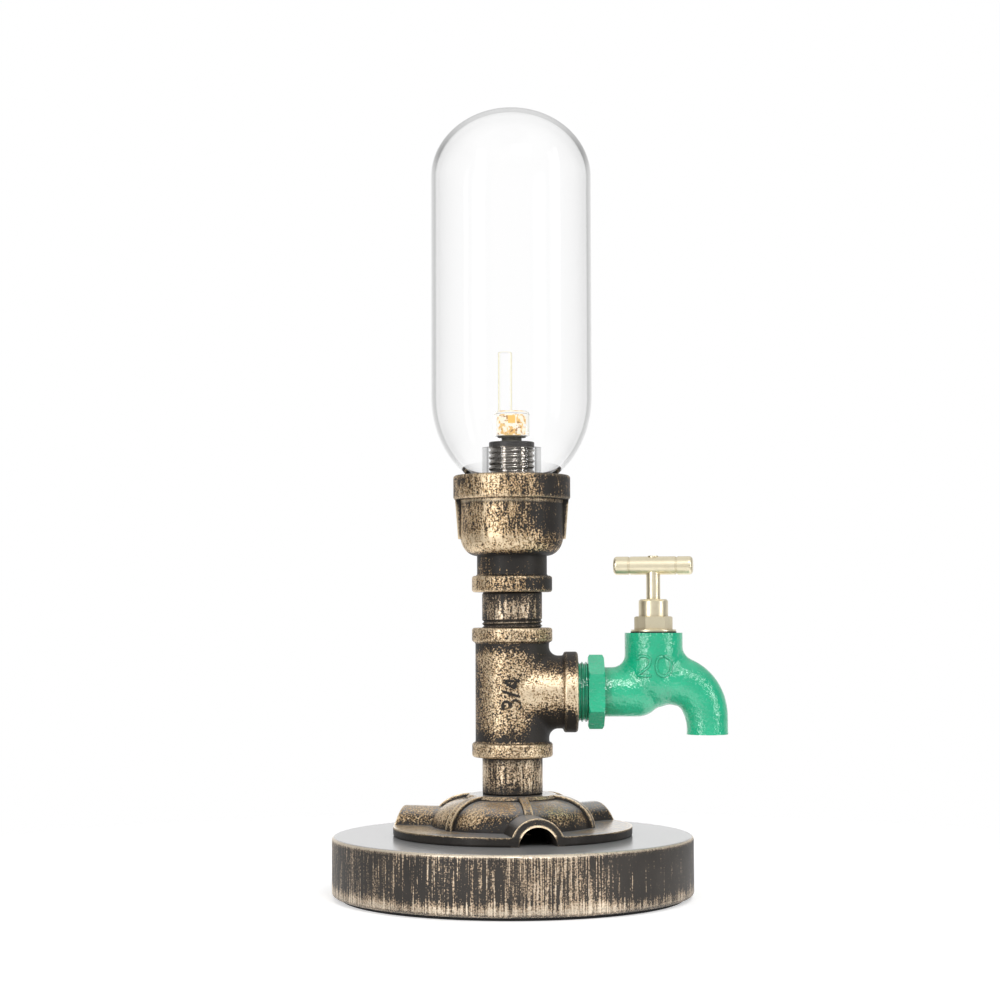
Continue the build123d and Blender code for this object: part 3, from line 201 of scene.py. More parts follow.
class Paint:
    """A node tree, and the one method that adds any node to it."""

    def __init__(self, tree):
        self.tree = tree
        tree.nodes.clear()

    def node(self, kind, settings=None, sockets=None):
        """Adds a node: its settings first, then the value or link of each socket."""
        node = self.tree.nodes.new(kind)
        for name, value in (settings or {}).items():
            setattr(node, name, value)
        for key, value in (sockets or {}).items():
            source = value.socket if isinstance(value, Field) else value
            if isinstance(source, bpy.types.NodeSocket):
                self.tree.links.new(source, node.inputs[key])
            else:
                node.inputs[key].default_value = source
        return node

    def field(self, kind, settings=None, sockets=None, output=0):
        """A node's output as a number to calculate with."""
        return Field(self, self.node(kind, settings, sockets).outputs[output])

    def places(self, stretch):
        """Object coordinates in millimetres, stretched along the axes."""
        where = self.node("ShaderNodeTexCoord").outputs["Object"]
        scale = [1.0 / MM * share for share in stretch]
        return self.node("ShaderNodeMapping", None, {"Vector": where, "Scale": scale}).outputs[0]

    def noise(self, size, detail=2.0, stretch=(1.0, 1.0, 1.0), roughness=0.55):
        """Noise whose blotches are about size millimetres, longer along an axis whose stretch is below 1."""
        return self.field("ShaderNodeTexNoise", None,
                          {"Vector": self.places(stretch), "Scale": 0.5 / size, "Detail": detail,
                           "Roughness": roughness})

    def blend(self, factor, first, second):
        """A colour between two, by a factor."""
        return self.node("ShaderNodeMix", {"data_type": "RGBA"},
                         {0: factor, 6: first, 7: second}).outputs[2]

    def part_of(self, vector, index):
        """A vector's part along X, Y or Z."""
        return self.field("ShaderNodeSeparateXYZ", None, {0: vector}, index)

    def upward(self):
        """How far a face looks up: 1 for a top, 0 for a side, -1 for an underside."""
        return self.part_of(self.node("ShaderNodeNewGeometry").outputs["True Normal"], Z)

    def axis(self, index):
        """The place along X, Y or Z in millimetres."""
        return self.part_of(self.node("ShaderNodeTexCoord").outputs["Object"], index) * (1.0 / MM)

    def edge(self, width):
        """1 near an outer edge and 0 away from it: rays inside the piece meet its other faces there."""
        inside = self.field("ShaderNodeAmbientOcclusion",
                            {"samples": CORNER_RAYS, "inside": True, "only_local": True},
                            {"Distance": width * MM}, "AO")
        return (1.0 - inside).between(0.08, 0.5)

    def hollow(self, reach):
        """1 in a corner between faces and 0 in the open."""
        open_sky = self.field("ShaderNodeAmbientOcclusion", {"samples": CORNER_RAYS},
                              {"Distance": reach * MM}, "AO")
        return (1.0 - open_sky).between(0.06, 0.45)

    def bump(self, height, distance, strength):
        """A normal that is pushed about by a height, whose full rise is distance millimetres."""
        return self.node("ShaderNodeBump", None, {"Height": height, "Distance": distance * MM,
                                                  "Strength": strength}).outputs[0]

    def ray(self, kind):
        """1 for the rays of a kind that Light Path names, and 0 for others."""
        return self.field("ShaderNodeLightPath", None, None, kind)

    def shader(self, kind, **sockets):
        """A shader with these sockets. Underscores stand for spaces."""
        named = {key.replace("_", " "): value for key, value in sockets.items()}
        return self.node(kind, None, named).outputs[0]

    def mix(self, factor, first, second):
        """A shader between two, by a factor."""
        return self.node("ShaderNodeMixShader", None, {0: factor, 1: first, 2: second}).outputs[0]

    def show(self, shader, output="ShaderNodeOutputMaterial"):
        """Joins a shader to the output."""
        self.node(output, None, {"Surface": shader})

    def surface(self, **sockets):
        """Shows the plain surface shader with these sockets."""
        self.show(self.shader("ShaderNodeBsdfPrincipled", **sockets))


def new_paint(name):
    """A new material and its node tree."""
    material = bpy.data.materials.new(name)
    material.use_nodes = True
    return material, Paint(material.node_tree)


# ---------------------------------------------------------------- finishes

# The dry-brushed paint: sizes in millimetres, and steps of the sum that decides where the bronze takes
GRAIN_SIZE = 0.36
WIDE_HOLLOW = 8.0
TIGHT_HOLLOW = 1.0
TIGHT_LOSS = 0.35
BRUSH_EDGE = 0.06
RUBBED_THROUGH = 0.35

# Weight of the clear coat away from the glossy tops, and the grey painted on those tops as a sheen that
# stands in for their reflection
DULL_COAT = 0.04
TOP_PAINTED_SHEEN = (0.31, 0.31, 0.311, 1.0)

# Strength of the lamp's lit parts
LIT = 0.95


def dry_brushed(name, stroke=0.6, stroke_length=6.0, strokes_share=1.2, grain_share=1.4, patch=9.0,
                patch_share=0.8, cover=0.45, edge_width=1.4, edge_gain=0.5, hollow_loss=0.5, bump=0.05,
                fade=None, glossy_top_with_sheen=False, grey=0.0, ground=1.0):
    """Charcoal ground coat with bronze brushed over it.

    The bronze takes where brush strokes, raised grain, slow patches and outer edges add up, and misses the
    hollows. The shares weigh the first three, and a larger cover lets more bronze take. Strokes run up and
    down, and their sizes, the patches' and the edges' are in millimetres. A fade adds to the sum or takes
    from it by place. A glossy top has a smooth clear coat on the faces that look up, and a grey painted on
    them as a sheen that stands in for their reflection of the bright room. Grey pales the bronze, and
    ground lightens the charcoal.
    """
    material, paint = new_paint(name)
    strokes = paint.noise(stroke, 3.0, (1.0, 1.0, stroke / stroke_length), 0.65)
    grain = paint.noise(GRAIN_SIZE, roughness=0.6)
    patches = paint.noise(patch)
    amount = strokes * strokes_share + grain * grain_share + patches * patch_share
    amount = amount + paint.edge(edge_width) * edge_gain
    amount = amount - paint.hollow(WIDE_HOLLOW) * hollow_loss - paint.hollow(TIGHT_HOLLOW) * TIGHT_LOSS
    if fade is not None:
        amount = amount + fade(paint)
    level = 0.5 * (strokes_share + grain_share + patch_share) + (0.5 - cover) * 0.9
    gold = amount.between(level - BRUSH_EDGE, level + BRUSH_EDGE)
    bright = amount.between(level, level + RUBBED_THROUGH)
    metal = paint.blend(bright, greyed(colour("bronze"), grey), greyed(colour("pale_bronze"), grey))
    dark = paint.blend(patches.between(0.35, 0.65), colour("charcoal", ground),
                       colour("charcoal", 1.8 * ground))
    height = grain * 0.7 + strokes * 0.25 + gold * 0.3
    coat = DULL_COAT
    if glossy_top_with_sheen:
        top = paint.upward().between(0.6, 0.95)
        coat = DULL_COAT + (1.0 - DULL_COAT) * top
        # Painted sheen: faces that look up get a grey ground that stands in for their reflection of the
        # bright room.
        dark = paint.blend(top, dark, TOP_PAINTED_SHEEN)
    paint.surface(Base_Color=paint.blend(gold, dark, metal), Metallic=gold * 0.94,
                  Roughness=0.42 + 0.2 * (grain - 0.5) + 0.12 * (1.0 - gold), Specular_IOR_Level=0.35,
                  Normal=paint.bump(height, bump * 4.0, 0.9),
                  Coat_Weight=coat, Coat_Roughness=0.18 if glossy_top_with_sheen else 0.3)
    return material


def gloss_enamel(name):
    """Thick green gloss enamel over a rough casting, with an orange-peel skin, and shade painted darker into
    its hollows.
    """
    material, paint = new_paint(name)
    peel = paint.noise(0.8, roughness=0.5)
    pits = paint.noise(0.32, roughness=0.7)
    # Painted shade: corners and creases darken the green towards half its colour, where shade falls.
    hollow = paint.hollow(4.0) * 0.6 + paint.hollow(0.9) * 0.7
    tone = paint.noise(6.0)
    green = paint.blend(tone.between(0.3, 0.7) * 0.3 + hollow, colour("enamel"), colour("enamel", 0.5))
    paint.surface(Base_Color=green, Roughness=0.04 + 0.04 * pits, IOR=1.9,
                  Normal=paint.bump(peel * 0.8 + pits * 0.2, 0.5, 1.0))
    return material


def turned_metal(name, tint, roughness=0.2, line=0.12):
    """Machined metal: fine level lathe lines, with a little tarnish in the hollows and in smudges."""
    material, paint = new_paint(name)
    rings = paint.noise(line, stretch=(0.02, 0.02, 1.0))
    smudge = paint.noise(3.0, 3.0)
    tarnish = [value * share for value, share in zip(tint, (0.52, 0.44, 0.33))] + [1.0]
    shade = paint.blend(paint.hollow(1.6) * 0.4 + smudge.between(0.45, 0.8) * 0.25, tint, tarnish)
    paint.surface(Base_Color=shade, Metallic=1.0, Roughness=roughness + 0.12 * smudge + 0.06 * rings,
                  Normal=paint.bump(rings, 0.01, 0.5))
    return material


def moulded(name, tint, roughness, size=0.5, depth=0.02):
    """A moulded, cast or felted part: one colour with a small grain and a slow change of tone."""
    material, paint = new_paint(name)
    skin = paint.noise(size, 3.0, roughness=0.65)
    tone = paint.noise(size * 9.0)
    darker = [value * 0.7 for value in tint]
    paint.surface(Base_Color=paint.blend(tone.between(0.3, 0.75) * 0.5, (*tint, 1.0), (*darker, 1.0)),
                  Roughness=roughness + 0.15 * skin, Normal=paint.bump(skin, depth * 4.0, 0.6))
    return material


def clear_glass(name, mirror=0.93, tint=WHITE[:3], index=1.45, hidden=None):
    """Clear glass that is tinted towards its outline, where it mirrors more, and lets dull rays through.

    Hidden is a function that gives 1 where a face of the wall isn't to be seen, so the piece looks solid.
    """
    material, paint = new_paint(name)
    facing = paint.field("ShaderNodeLayerWeight", None, {"Blend": 0.5}, "Facing")
    fresnel = paint.field("ShaderNodeFresnel", None, {"IOR": index})
    wave = paint.bump(paint.noise(14.0, 1.0), 0.04, 0.3)
    clear, tinted = (paint.shader("ShaderNodeBsdfRefraction", Color=shade, Roughness=0.0, IOR=index,
                                  Normal=wave) for shade in (WHITE, (*tint, 1.0)))
    body = paint.mix(facing.between(0.1, 0.6), clear, tinted)
    skin = paint.shader("ShaderNodeBsdfGlossy", Color=(mirror, mirror, mirror, 1.0), Roughness=0.0,
                        Normal=wave)
    glass = paint.mix(fresnel - 0.03, body, skin)
    mirrored = paint.ray("Is Glossy Ray") * (1.0 - paint.ray("Is Transmission Ray"))
    passing = paint.ray("Is Shadow Ray") + paint.ray("Is Diffuse Ray") + mirrored
    if hidden is not None:
        passing = passing + hidden(paint)
    paint.show(paint.mix(passing, glass, paint.shader("ShaderNodeBsdfTransparent")))
    return material


def glowing(name, light, fleck, shadow, spot=None):
    """A lit part: its light, broken by flecks of two darker tones, and an amber spot where asked."""
    material, paint = new_paint(name)
    cells = paint.noise(0.9, stretch=(1.0, 1.0, 0.6))
    specks = paint.noise(0.7)
    toned = paint.blend(cells.between(0.5, 0.58), (*light, 1.0), (*fleck, 1.0))
    toned = paint.blend(specks.between(0.58, 0.64), toned, (*shadow, 1.0))
    if spot is not None:
        toned = paint.blend(spot(paint), toned, colour("glow"))
    paint.surface(Base_Color=(0.12, 0.08, 0.04, 1.0), Roughness=0.5, Emission_Color=toned,
                  Emission_Strength=LIT)
    return material


def wear(nodes, material):
    """Gives carried-over CAD nodes a finish."""
    for name in nodes:
        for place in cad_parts[name].material_slots:
            place.material = material


# ---------------------------------------------------------------- surfaces

def add_piece(name, points, faces, material, body, crease=40.0):
    """Puts worked-out points and faces into a mesh that rides on a body."""
    mesh = bpy.data.meshes.new(name)
    mesh.from_pydata(points.tolist(), [], faces)
    mesh.polygons.foreach_set("use_smooth", np.ones(len(mesh.polygons), bool))
    mesh.set_sharp_from_angle(angle=math.radians(crease))
    mesh.materials.append(material)
    piece = bpy.data.objects.new(name, mesh)
    bpy.context.scene.collection.objects.link(piece)
    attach(piece, body)
    return piece


def grid_faces(rows, columns, close_rows=False):
    """Quads of a grid of rows by columns, closed round the columns, and round the rows where asked."""
    row = np.arange(rows if close_rows else rows - 1)[:, None]
    column = np.arange(columns)[None, :]
    next_row = (row + 1) % rows
    next_column = (column + 1) % columns
    corners = np.stack([row * columns + column, row * columns + next_column,
                        next_row * columns + next_column, next_row * columns + column], axis=-1)
    return corners.reshape(-1, 4)


def capped_faces(rows, columns):
    """Quads of a grid closed round its columns, and a fan from each end row to a point of its own.

    The first row's point comes right after the grid's points, and the last row's after that one.
    """
    column = np.arange(columns)
    after = (column + 1) % columns
    tip = np.full(columns, rows * columns)
    last_row = (rows - 1) * columns
    first_fan = np.stack([tip, after, column], axis=-1)
    last_fan = np.stack([tip + 1, last_row + column, last_row + after], axis=-1)
    return grid_faces(rows, columns).tolist() + first_fan.tolist() + last_fan.tolist()


def revolve(radii, heights, steps):
    """A closed skin turned about Z from an outline that runs down the outside and back up the inside.

    A point of row i and column j is (r_i cos t_j, r_i sin t_j, z_i) with t_j going once round, clockwise
    from above so that faces point out of the wall. The outline's two ends are on the axis: each is a single
    point joined to the first or last ring by a fan.
    """
    turn = np.linspace(0.0, -2.0 * math.pi, steps, endpoint=False)
    ring_radii = radii[1:-1, None]
    rows = len(ring_radii)
    rings = np.stack([ring_radii * np.cos(turn), ring_radii * np.sin(turn),
                      np.broadcast_to(heights[1:-1, None], (rows, steps))], axis=-1)
    ends = np.array([[0.0, 0.0, heights[0]], [0.0, 0.0, heights[-1]]])
    return np.vstack([rings.reshape(-1, 3), ends]), capped_faces(rows, steps)


def thread_reach(height, turn, crest, depth, pitch):
    """Radius of a right-hand screw thread at a height and turn.

    The thread's phase is height / pitch - turn / 2 pi, and its section is a trapezium: root, flank, crest
    and flank take 0.2, 0.3, 0.2 and 0.3 of the pitch.
    """
    root, flank = 0.2, 0.3
    phase = np.mod(height / pitch - turn / (2.0 * math.pi), 1.0)
    rise = np.clip((0.5 - np.abs(phase - 0.5) - root / 2) / flank, 0.0, 1.0)
    return crest - depth * (1.0 - rise)


def screwed_tube(bottom, top, crest, bore, depth, pitch, cuts):
    """A tube with screw threads on its outside, as one closed skin.

    Rows climb the outside, cross the top rim, go down the bore and cross the bottom rim. On the outside the
    radius is the thread's inside each cut (low, high), and the plain crest elsewhere, with a run-out of
    half a pitch between them.
    """
    columns, rows_in_a_pitch = 96, 12
    turn = np.linspace(0.0, 2.0 * math.pi, columns, endpoint=False)[None, :]
    height = np.linspace(bottom, top, int((top - bottom) / pitch * rows_in_a_pitch))[:, None]
    run_out = 0.5 * pitch
    cut = np.zeros_like(height)
    for low, high in cuts:
        above_low = np.clip((height - low) / run_out + 1.0, 0.0, 1.0)
        below_high = np.clip((high - height) / run_out + 1.0, 0.0, 1.0)
        cut = np.maximum(cut, above_low * below_high)
    outside = crest + (thread_reach(height, turn, crest, depth, pitch) - crest) * cut
    straight = np.ones_like(turn)
    radius = np.vstack([outside, bore * straight, bore * straight])
    level = np.vstack([height * straight, top * straight, bottom * straight])
    points = np.stack([radius * np.cos(turn), radius * np.sin(turn), level], axis=-1).reshape(-1, 3)
    return points, grid_faces(len(radius), columns, close_rows=True).tolist()


def line_lengths(points):
    """How far along a line of points each of them is."""
    return np.concatenate([[0.0], np.cumsum(np.linalg.norm(np.diff(points, axis=0), axis=1))])


def swept_stroke(centres, across, radius):
    """A round rod along a line of points, with rounded ends.

    At share s of the line the section is a circle of the rod's radius times sqrt(1 - e^2), where e runs
    from 1 at an end to 0 one radius in. Each circle stands in the plane of the across vector and the one
    square to it and the line.
    """
    sides = 10
    step = np.gradient(centres, axis=0)
    along = step / np.linalg.norm(step, axis=1, keepdims=True)
    up = across / np.linalg.norm(across, axis=1, keepdims=True)
    side = np.cross(along, up)
    side /= np.linalg.norm(side, axis=1, keepdims=True)
    up = np.cross(side, along)
    travelled = line_lengths(centres)
    from_end = np.minimum(travelled, travelled[-1] - travelled)
    end = np.clip(1.0 - from_end / radius, 0.0, 1.0)
    swell = radius * np.sqrt(np.clip(1.0 - end ** 2, 0.0, 1.0))
    turn = np.linspace(0.0, 2.0 * math.pi, sides, endpoint=False)[None, :, None]
    ring = swell[1:-1, None, None] * (side[1:-1, None, :] * np.cos(turn) + up[1:-1, None, :] * np.sin(turn))
    points = np.vstack([(centres[1:-1, None, :] + ring).reshape(-1, 3), centres[[0, -1]]])
    return points, capped_faces(len(centres) - 2, sides)


def smooth_line(corners, spacing):
    """Evenly spaced points of a Catmull-Rom curve through the corners, or of the straight line for two."""
    steps_between_corners, fewest_points = 24, 8
    knots = np.array(corners, float)
    if len(knots) > 2:
        padded = np.vstack([2 * knots[0] - knots[1], knots, 2 * knots[-1] - knots[-2]])
        share = np.linspace(0.0, 1.0, steps_between_corners, endpoint=False)[None, :, None]
        before, start, end, after = (padded[index:index + len(knots) - 1, None, :] for index in range(4))
        curve = 0.5 * (2 * start + (end - before) * share
                       + (2 * before - 5 * start + 4 * end - after) * share ** 2
                       + (3 * start - before - 3 * end + after) * share ** 3)
        knots = np.vstack([curve.reshape(-1, 2), knots[-1:]])
    length = line_lengths(knots)
    even = np.linspace(0.0, length[-1], max(fewest_points, int(length[-1] / spacing)))
    return np.stack([np.interp(even, length, knots[:, index]) for index in range(2)], axis=-1)


def front_of(node):
    """A function that gives, for points (x, z), where a CAD node's front face is, and its normals."""
    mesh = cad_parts[node].data
    tree = BVHTree.FromPolygons([corner.co for corner in mesh.vertices],
                                [tuple(face.vertices) for face in mesh.polygons])
    in_front = CAD_BOX[0][Y] - 10.0 * MM

    def project(flat):
        hits = [tree.ray_cast(Vector((x, in_front, z)), Vector((0.0, 1.0, 0.0))) for x, z in flat]
        if any(hit[0] is None for hit in hits):
            raise RuntimeError(f"a figure's stroke misses {node}")
        return np.array([hit[0] for hit in hits]), np.array([hit[1] for hit in hits])

    return project


def raised_figures(name, node, strokes, radius, sink, material):
    """Figures cast on a node's front face: each stroke is a round rod sunk below the face by sink."""
    project = front_of(node)
    spacing = 0.35
    all_points, all_faces, start = [], [], 0
    for corners in strokes:
        centres, normals = project(smooth_line(corners, spacing) * MM)
        points, faces = swept_stroke(centres - normals * sink, normals, radius)
        all_points.append(points)
        all_faces += [[index + start for index in face] for face in faces]
        start += len(points)
    return add_piece(name, np.vstack(all_points), all_faces, material, "lamp")


# ---------------------------------------------------------------- the steps

class PIPELAMP_OT_fittings(bpy.types.Operator):
    """Paint the base, the flange, the lower pipe and the fittings"""

    bl_idname = "pipe_lamp.fittings"
    bl_label = "Paint Pipe Fittings"

    def execute(self, context):
        wear(["base_disc"], dry_brushed(
            "base_paint", stroke=0.34, stroke_length=12.0, strokes_share=1.5, grain_share=0.8, patch=14.0,
            patch_share=0.6, cover=0.35, edge_width=1.8, edge_gain=1.9, bump=0.02, glossy_top_with_sheen=True,
            grey=0.42, ground=1.55, fade=base_fade))
        wear(["flange"], dry_brushed(
            "flange_bronze", stroke_length=2.0, strokes_share=0.4, grain_share=1.8, patch_share=0.6,
            cover=0.6, edge_width=1.3, edge_gain=1.1, hollow_loss=0.8, bump=0.08, glossy_top_with_sheen=True,
            grey=0.08, fade=flange_fade))
        wear(["tee"], dry_brushed(
            "tee_bronze", stroke_length=2.5, strokes_share=0.5, grain_share=1.8, patch_share=0.7,
            cover=0.57, edge_width=1.5, edge_gain=1.4, hollow_loss=0.8, bump=0.07, grey=0.15,
            fade=tee_fade))
        wear(["lower_nipple"], dry_brushed("pipe_bronze", stroke_length=5.0, cover=0.6, bump=0.03, grey=0.3))
        wear(["reducer"], dry_brushed(
            "cup_bronze", stroke_length=3.5, grain_share=1.6, edge_width=1.6, edge_gain=1.3,
            hollow_loss=0.55, grey=0.1, fade=cup_fade))
        return {"FINISHED"}


# Each fade gives what a place adds to the bronze's sum. Its places are in millimetres, in the lamp's frame.

def base_fade(paint):
    """More bronze rubbed on towards the base's two rims; less on its right side, as painted shade, and
    little on its top, where the grey painted sheen shows instead.
    """
    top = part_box("base_disc")[1].z / MM
    low_rim = paint.axis(Z).between(9.0, 2.5)
    top_rim = paint.axis(Z).between(top - 1.6, top - 0.6)
    # The grey painted sheen of the glossy top shows where the bronze is kept off the top.
    level = paint.upward().between(0.8, 1.0)
    # Painted shade: less bronze on the right, the side away from the stronger light.
    right = paint.axis(X).between(10.0, 75.0)
    return low_rim * 0.45 + top_rim * 0.5 - level * 1.1 - right * 0.2


def flange_fade(paint):
    """Less bronze on the plate's rim, the front channel and the right side, more on top of the plate. The
    darker right side is painted shade, and the extra bronze on the plate's top is partly a painted highlight
    where it faces the light from above.
    """
    height = paint.axis(Z)
    plate_rim = height.between(31.6, 30.6)
    front_channel = paint.axis(Y).between(-28.0, -40.0)
    # Partly a painted highlight: the plate's top faces the light from above.
    plate_top = paint.upward().between(0.7, 0.95) * height.between(34.0, 33.0)
    # Painted shade on the right, away from the stronger light.
    right = paint.axis(X).between(5.0, 35.0)
    return plate_rim * (-0.4) - front_channel * 0.45 + plate_top * 0.3 - right * 0.2


def tee_fade(paint):
    """Less bronze beside the branch, under the bands and on the far left, more on the branch's front. The
    branch's front is partly a painted highlight where the light from above the camera falls; the darker
    corners beside the branch and under the bands are painted shade as well as the brush missing them, and
    the darker far left is painted shade.
    """
    across = paint.axis(X)
    height = paint.axis(Z)
    between_bands = height.between(68.2, 69.2) * height.between(112.4, 111.4)
    # Painted shade, as well as the brush missing the corners: beside the branch and under the bands.
    beside = across.between(2.0, 14.0) * (height.between(94.0, 106.0) + height.between(87.0, 75.0))
    under_bands = height.between(106.0, 111.5) + height.between(75.0, 69.5)
    # Partly a painted highlight on the branch's front, where the light from above the camera falls.
    branch = across.between(-1.0, 12.0) * height.between(78.0, 90.0) * height.between(105.0, 92.0)
    # Painted shade on the far left edge.
    left = across.between(-9.0, -16.0)
    return between_bands * (branch * 0.2 - beside * 0.5 - under_bands * 0.3 - left * 0.18)


def cup_fade(paint):
    """More bronze on the cup's left side and lower shoulder; less on its right, its neck, under its band.
    The left and right are partly the brush's own unevenness and partly painted light and shade from the
    stronger light on the left; the dark line under the band is painted shade.
    """
    across = paint.axis(X)
    height = paint.axis(Z)
    # Partly painted light and shade: more bronze on the left, towards the stronger light, and less on the
    # right.
    left = across.between(2.0, -20.0)
    right = across.between(0.0, 20.0)
    low_shoulder = height.between(151.5, 153.5) * height.between(163.0, 157.0)
    neck = height.between(152.5, 150.5) * height.between(142.0, 143.5)
    band_width = 10.9
    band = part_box("reducer")[1].z / MM - band_width
    # Painted shade: a dark line just under the band.
    under_band = height.between(band - 2.4, band - 0.6) * height.between(band + 0.2, band - 0.2)
    return left * 0.08 - right * 0.27 + low_shoulder * 0.25 - neck * 0.22 - under_band * 0.5


class PIPELAMP_OT_nipple(bpy.types.Operator):
    """Cut the upper nipple with its threads"""

    bl_idname = "pipe_lamp.nipple"
    bl_label = "Cut Upper Nipple"

    def execute(self, context):
        use = sizes()
        low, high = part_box("upper_nipple")
        cuts = [(low.z - use.pipe_thread_pitch, low.z + use.thread_engagement + use.nipple_thread_showing),
                (high.z - use.thread_engagement, high.z + use.pipe_thread_pitch)]
        points, faces = screwed_tube(low.z, high.z, high.x, use.pipe_bore / 2, use.pipe_thread_depth,
                                     use.pipe_thread_pitch, cuts)
        finish = dry_brushed("nipple_bronze", stroke_length=5.0, cover=0.5, edge_width=0.6,
                             edge_gain=0.35, bump=0.03, grey=0.35, ground=1.6)
        piece = add_piece("upper_nipple_threaded", points, faces, finish, "lamp")
        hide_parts("upper_nipple")
        return {"FINISHED"}


class PIPELAMP_OT_holder(bpy.types.Operator):
    """Cut the lampholder's sleeve and finish its head"""

    bl_idname = "pipe_lamp.holder"
    bl_label = "Cut Lampholder Sleeve"

    def execute(self, context):
        use = sizes()
        low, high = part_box("threaded_sleeve")
        pitch = use.sleeve_thread_pitch
        points, faces = screwed_tube(low.z, high.z, high.x, use.sleeve_bore / 2, use.sleeve_thread_depth,
                                     pitch, [(low.z - pitch, high.z + pitch)])
        finish = turned_metal("sleeve_plating", colour("sleeve"), roughness=0.12, line=0.15)
        piece = add_piece("sleeve_thread", points, faces, finish, "lamp")
        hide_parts("threaded_sleeve")
        wear(["lampholder"], moulded("dark_ceramic", (0.035, 0.032, 0.03), 0.35, 0.4, 0.01))
        return {"FINISHED"}


def shade_outline(use, low, high):
    """The glass's section, as radii and heights from the top of the outside to the top of the inside.

    The outside is a quarter of an ellipse, a straight wall and a bowl: part of an ellipse down to the flat
    ring the glass stands on. The section then climbs the neck's bore, crosses its top, and goes back along
    the inside of the bowl and the dome, which is the outside less the wall. A point of a curve at angle t
    is (r cos t, z + h sin t).
    """
    dome_rows, bowl_rows = 56, 40
    outer, inner = high.x, high.x - use.shade_wall
    shoulder = low.z + use.shade_shoulder
    dome = high.z - use.shade_dome
    neck_top = low.z + use.neck_height
    ring_angle = math.acos(use.shade_ring / 2 / outer)
    neck_angle = math.acos(use.neck_outside / 2 / inner)
    bowl_depth = use.shade_shoulder / math.sin(ring_angle)
    quarter = np.linspace(math.pi / 2, 0.0, dome_rows)
    outer_bowl = np.linspace(0.0, ring_angle, bowl_rows)
    inner_bowl = np.linspace(neck_angle, 0.0, bowl_rows)
    radii = [outer * np.cos(quarter), outer * np.cos(outer_bowl),
             [use.neck_bore / 2, use.neck_bore / 2, use.neck_outside / 2],
             inner * np.cos(inner_bowl), inner * np.cos(quarter[::-1])]
    heights = [dome + use.shade_dome * np.sin(quarter), shoulder - bowl_depth * np.sin(outer_bowl),
               [low.z, neck_top, neck_top],
               shoulder - (bowl_depth - use.shade_wall) * np.sin(inner_bowl),
               dome + (use.shade_dome - use.shade_wall) * np.sin(quarter[::-1])]
    return np.concatenate(radii), np.concatenate(heights)


class PIPELAMP_OT_shade(bpy.types.Operator):
    """Blow the glass shade"""

    bl_idname = "pipe_lamp.shade"
    bl_label = "Blow Glass Shade"

    def execute(self, context):
        radii, heights = shade_outline(sizes(), *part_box("glass_shade"))
        points, faces = revolve(radii, heights, steps=144)
        piece = add_piece("shade_glass_skin", points, faces, clear_glass("shade_glass"), "shade",
                          crease=50.0)
        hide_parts("glass_shade")
        wear(["shade_gasket"], moulded("gasket_silicone", (0.55, 0.56, 0.55), 0.45))
        return {"FINISHED"}


class PIPELAMP_OT_bulb(bpy.types.Operator):
    """Finish the small lamp inside the shade"""

    bl_idname = "pipe_lamp.bulb"
    bl_label = "Light Bulb"

    def execute(self, context):
        wear(["bulb_foot"], moulded("bulb_foot", (0.085, 0.08, 0.055), 0.45))
        wear(["bulb_pins"], turned_metal("pin_steel", colour("steel")))
        wear(["light_core"], glowing("core_board", (1.0, 0.95, 0.84), (0.86, 0.60, 0.25),
                                     (0.40, 0.22, 0.08)))
        wear(["light_chips"], glowing("chip_phosphor", (1.0, 0.93, 0.78), (0.80, 0.50, 0.17),
                                      (0.30, 0.15, 0.05), front_chip))
        wear(["bulb_cover"], clear_glass("clear_cover", 0.95, (1.0, 0.985, 0.93), 1.38, cover_inside))
        wear(["light_guide"], clear_glass("light_guide", 0.95, (1.0, 0.96, 0.78)))
        return {"FINISHED"}


def front_chip(paint):
    """1 on the upper chip at the front."""
    low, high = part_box("light_chips")
    middle = (low.z + high.z) / 2 / MM
    across = paint.axis(X)
    front = across.between(-1.7, -1.5) * across.between(1.7, 1.5) * paint.axis(Y).between(-1.0, -2.0)
    return front * paint.axis(Z).between(middle, middle + 0.2)


def cover_inside(paint):
    """1 on the inner wall of the lamp's cover."""
    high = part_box("bulb_cover")[1]
    across = paint.axis(X)
    deep = paint.axis(Y)
    wall_middle = (high.x / MM - 0.4) ** 2
    inner = (across * across + deep * deep).between(wall_middle + 1.0, wall_middle - 1.0)
    return inner * paint.axis(Z).between(high.z / MM - 0.3, high.z / MM - 0.5)


class PIPELAMP_OT_tap(bpy.types.Operator):
    """Finish the tap and its brass headgear"""

    bl_idname = "pipe_lamp.tap"
    bl_label = "Paint Tap"

    def execute(self, context):
        wear(["tap_body"], gloss_enamel("green_enamel"))
        brass = turned_metal("polished_brass", colour("brass"), roughness=0.3)
        wear(["bonnet", "gland_nut", "spindle", "t_bar"], brass)
        wear(["bonnet_washer"], moulded("washer_fibre", (0.03, 0.028, 0.025), 0.6))
        wear(["gland_packing"], moulded("packing", (0.55, 0.53, 0.47), 0.8, 0.3))
        wear(["jumper", "washer_nut"], turned_metal("inner_brass", colour("brass", 0.9), roughness=0.28))
        wear(["tap_washer"], moulded("washer_rubber", (0.025, 0.025, 0.025), 0.7))
        return {"FINISHED"}


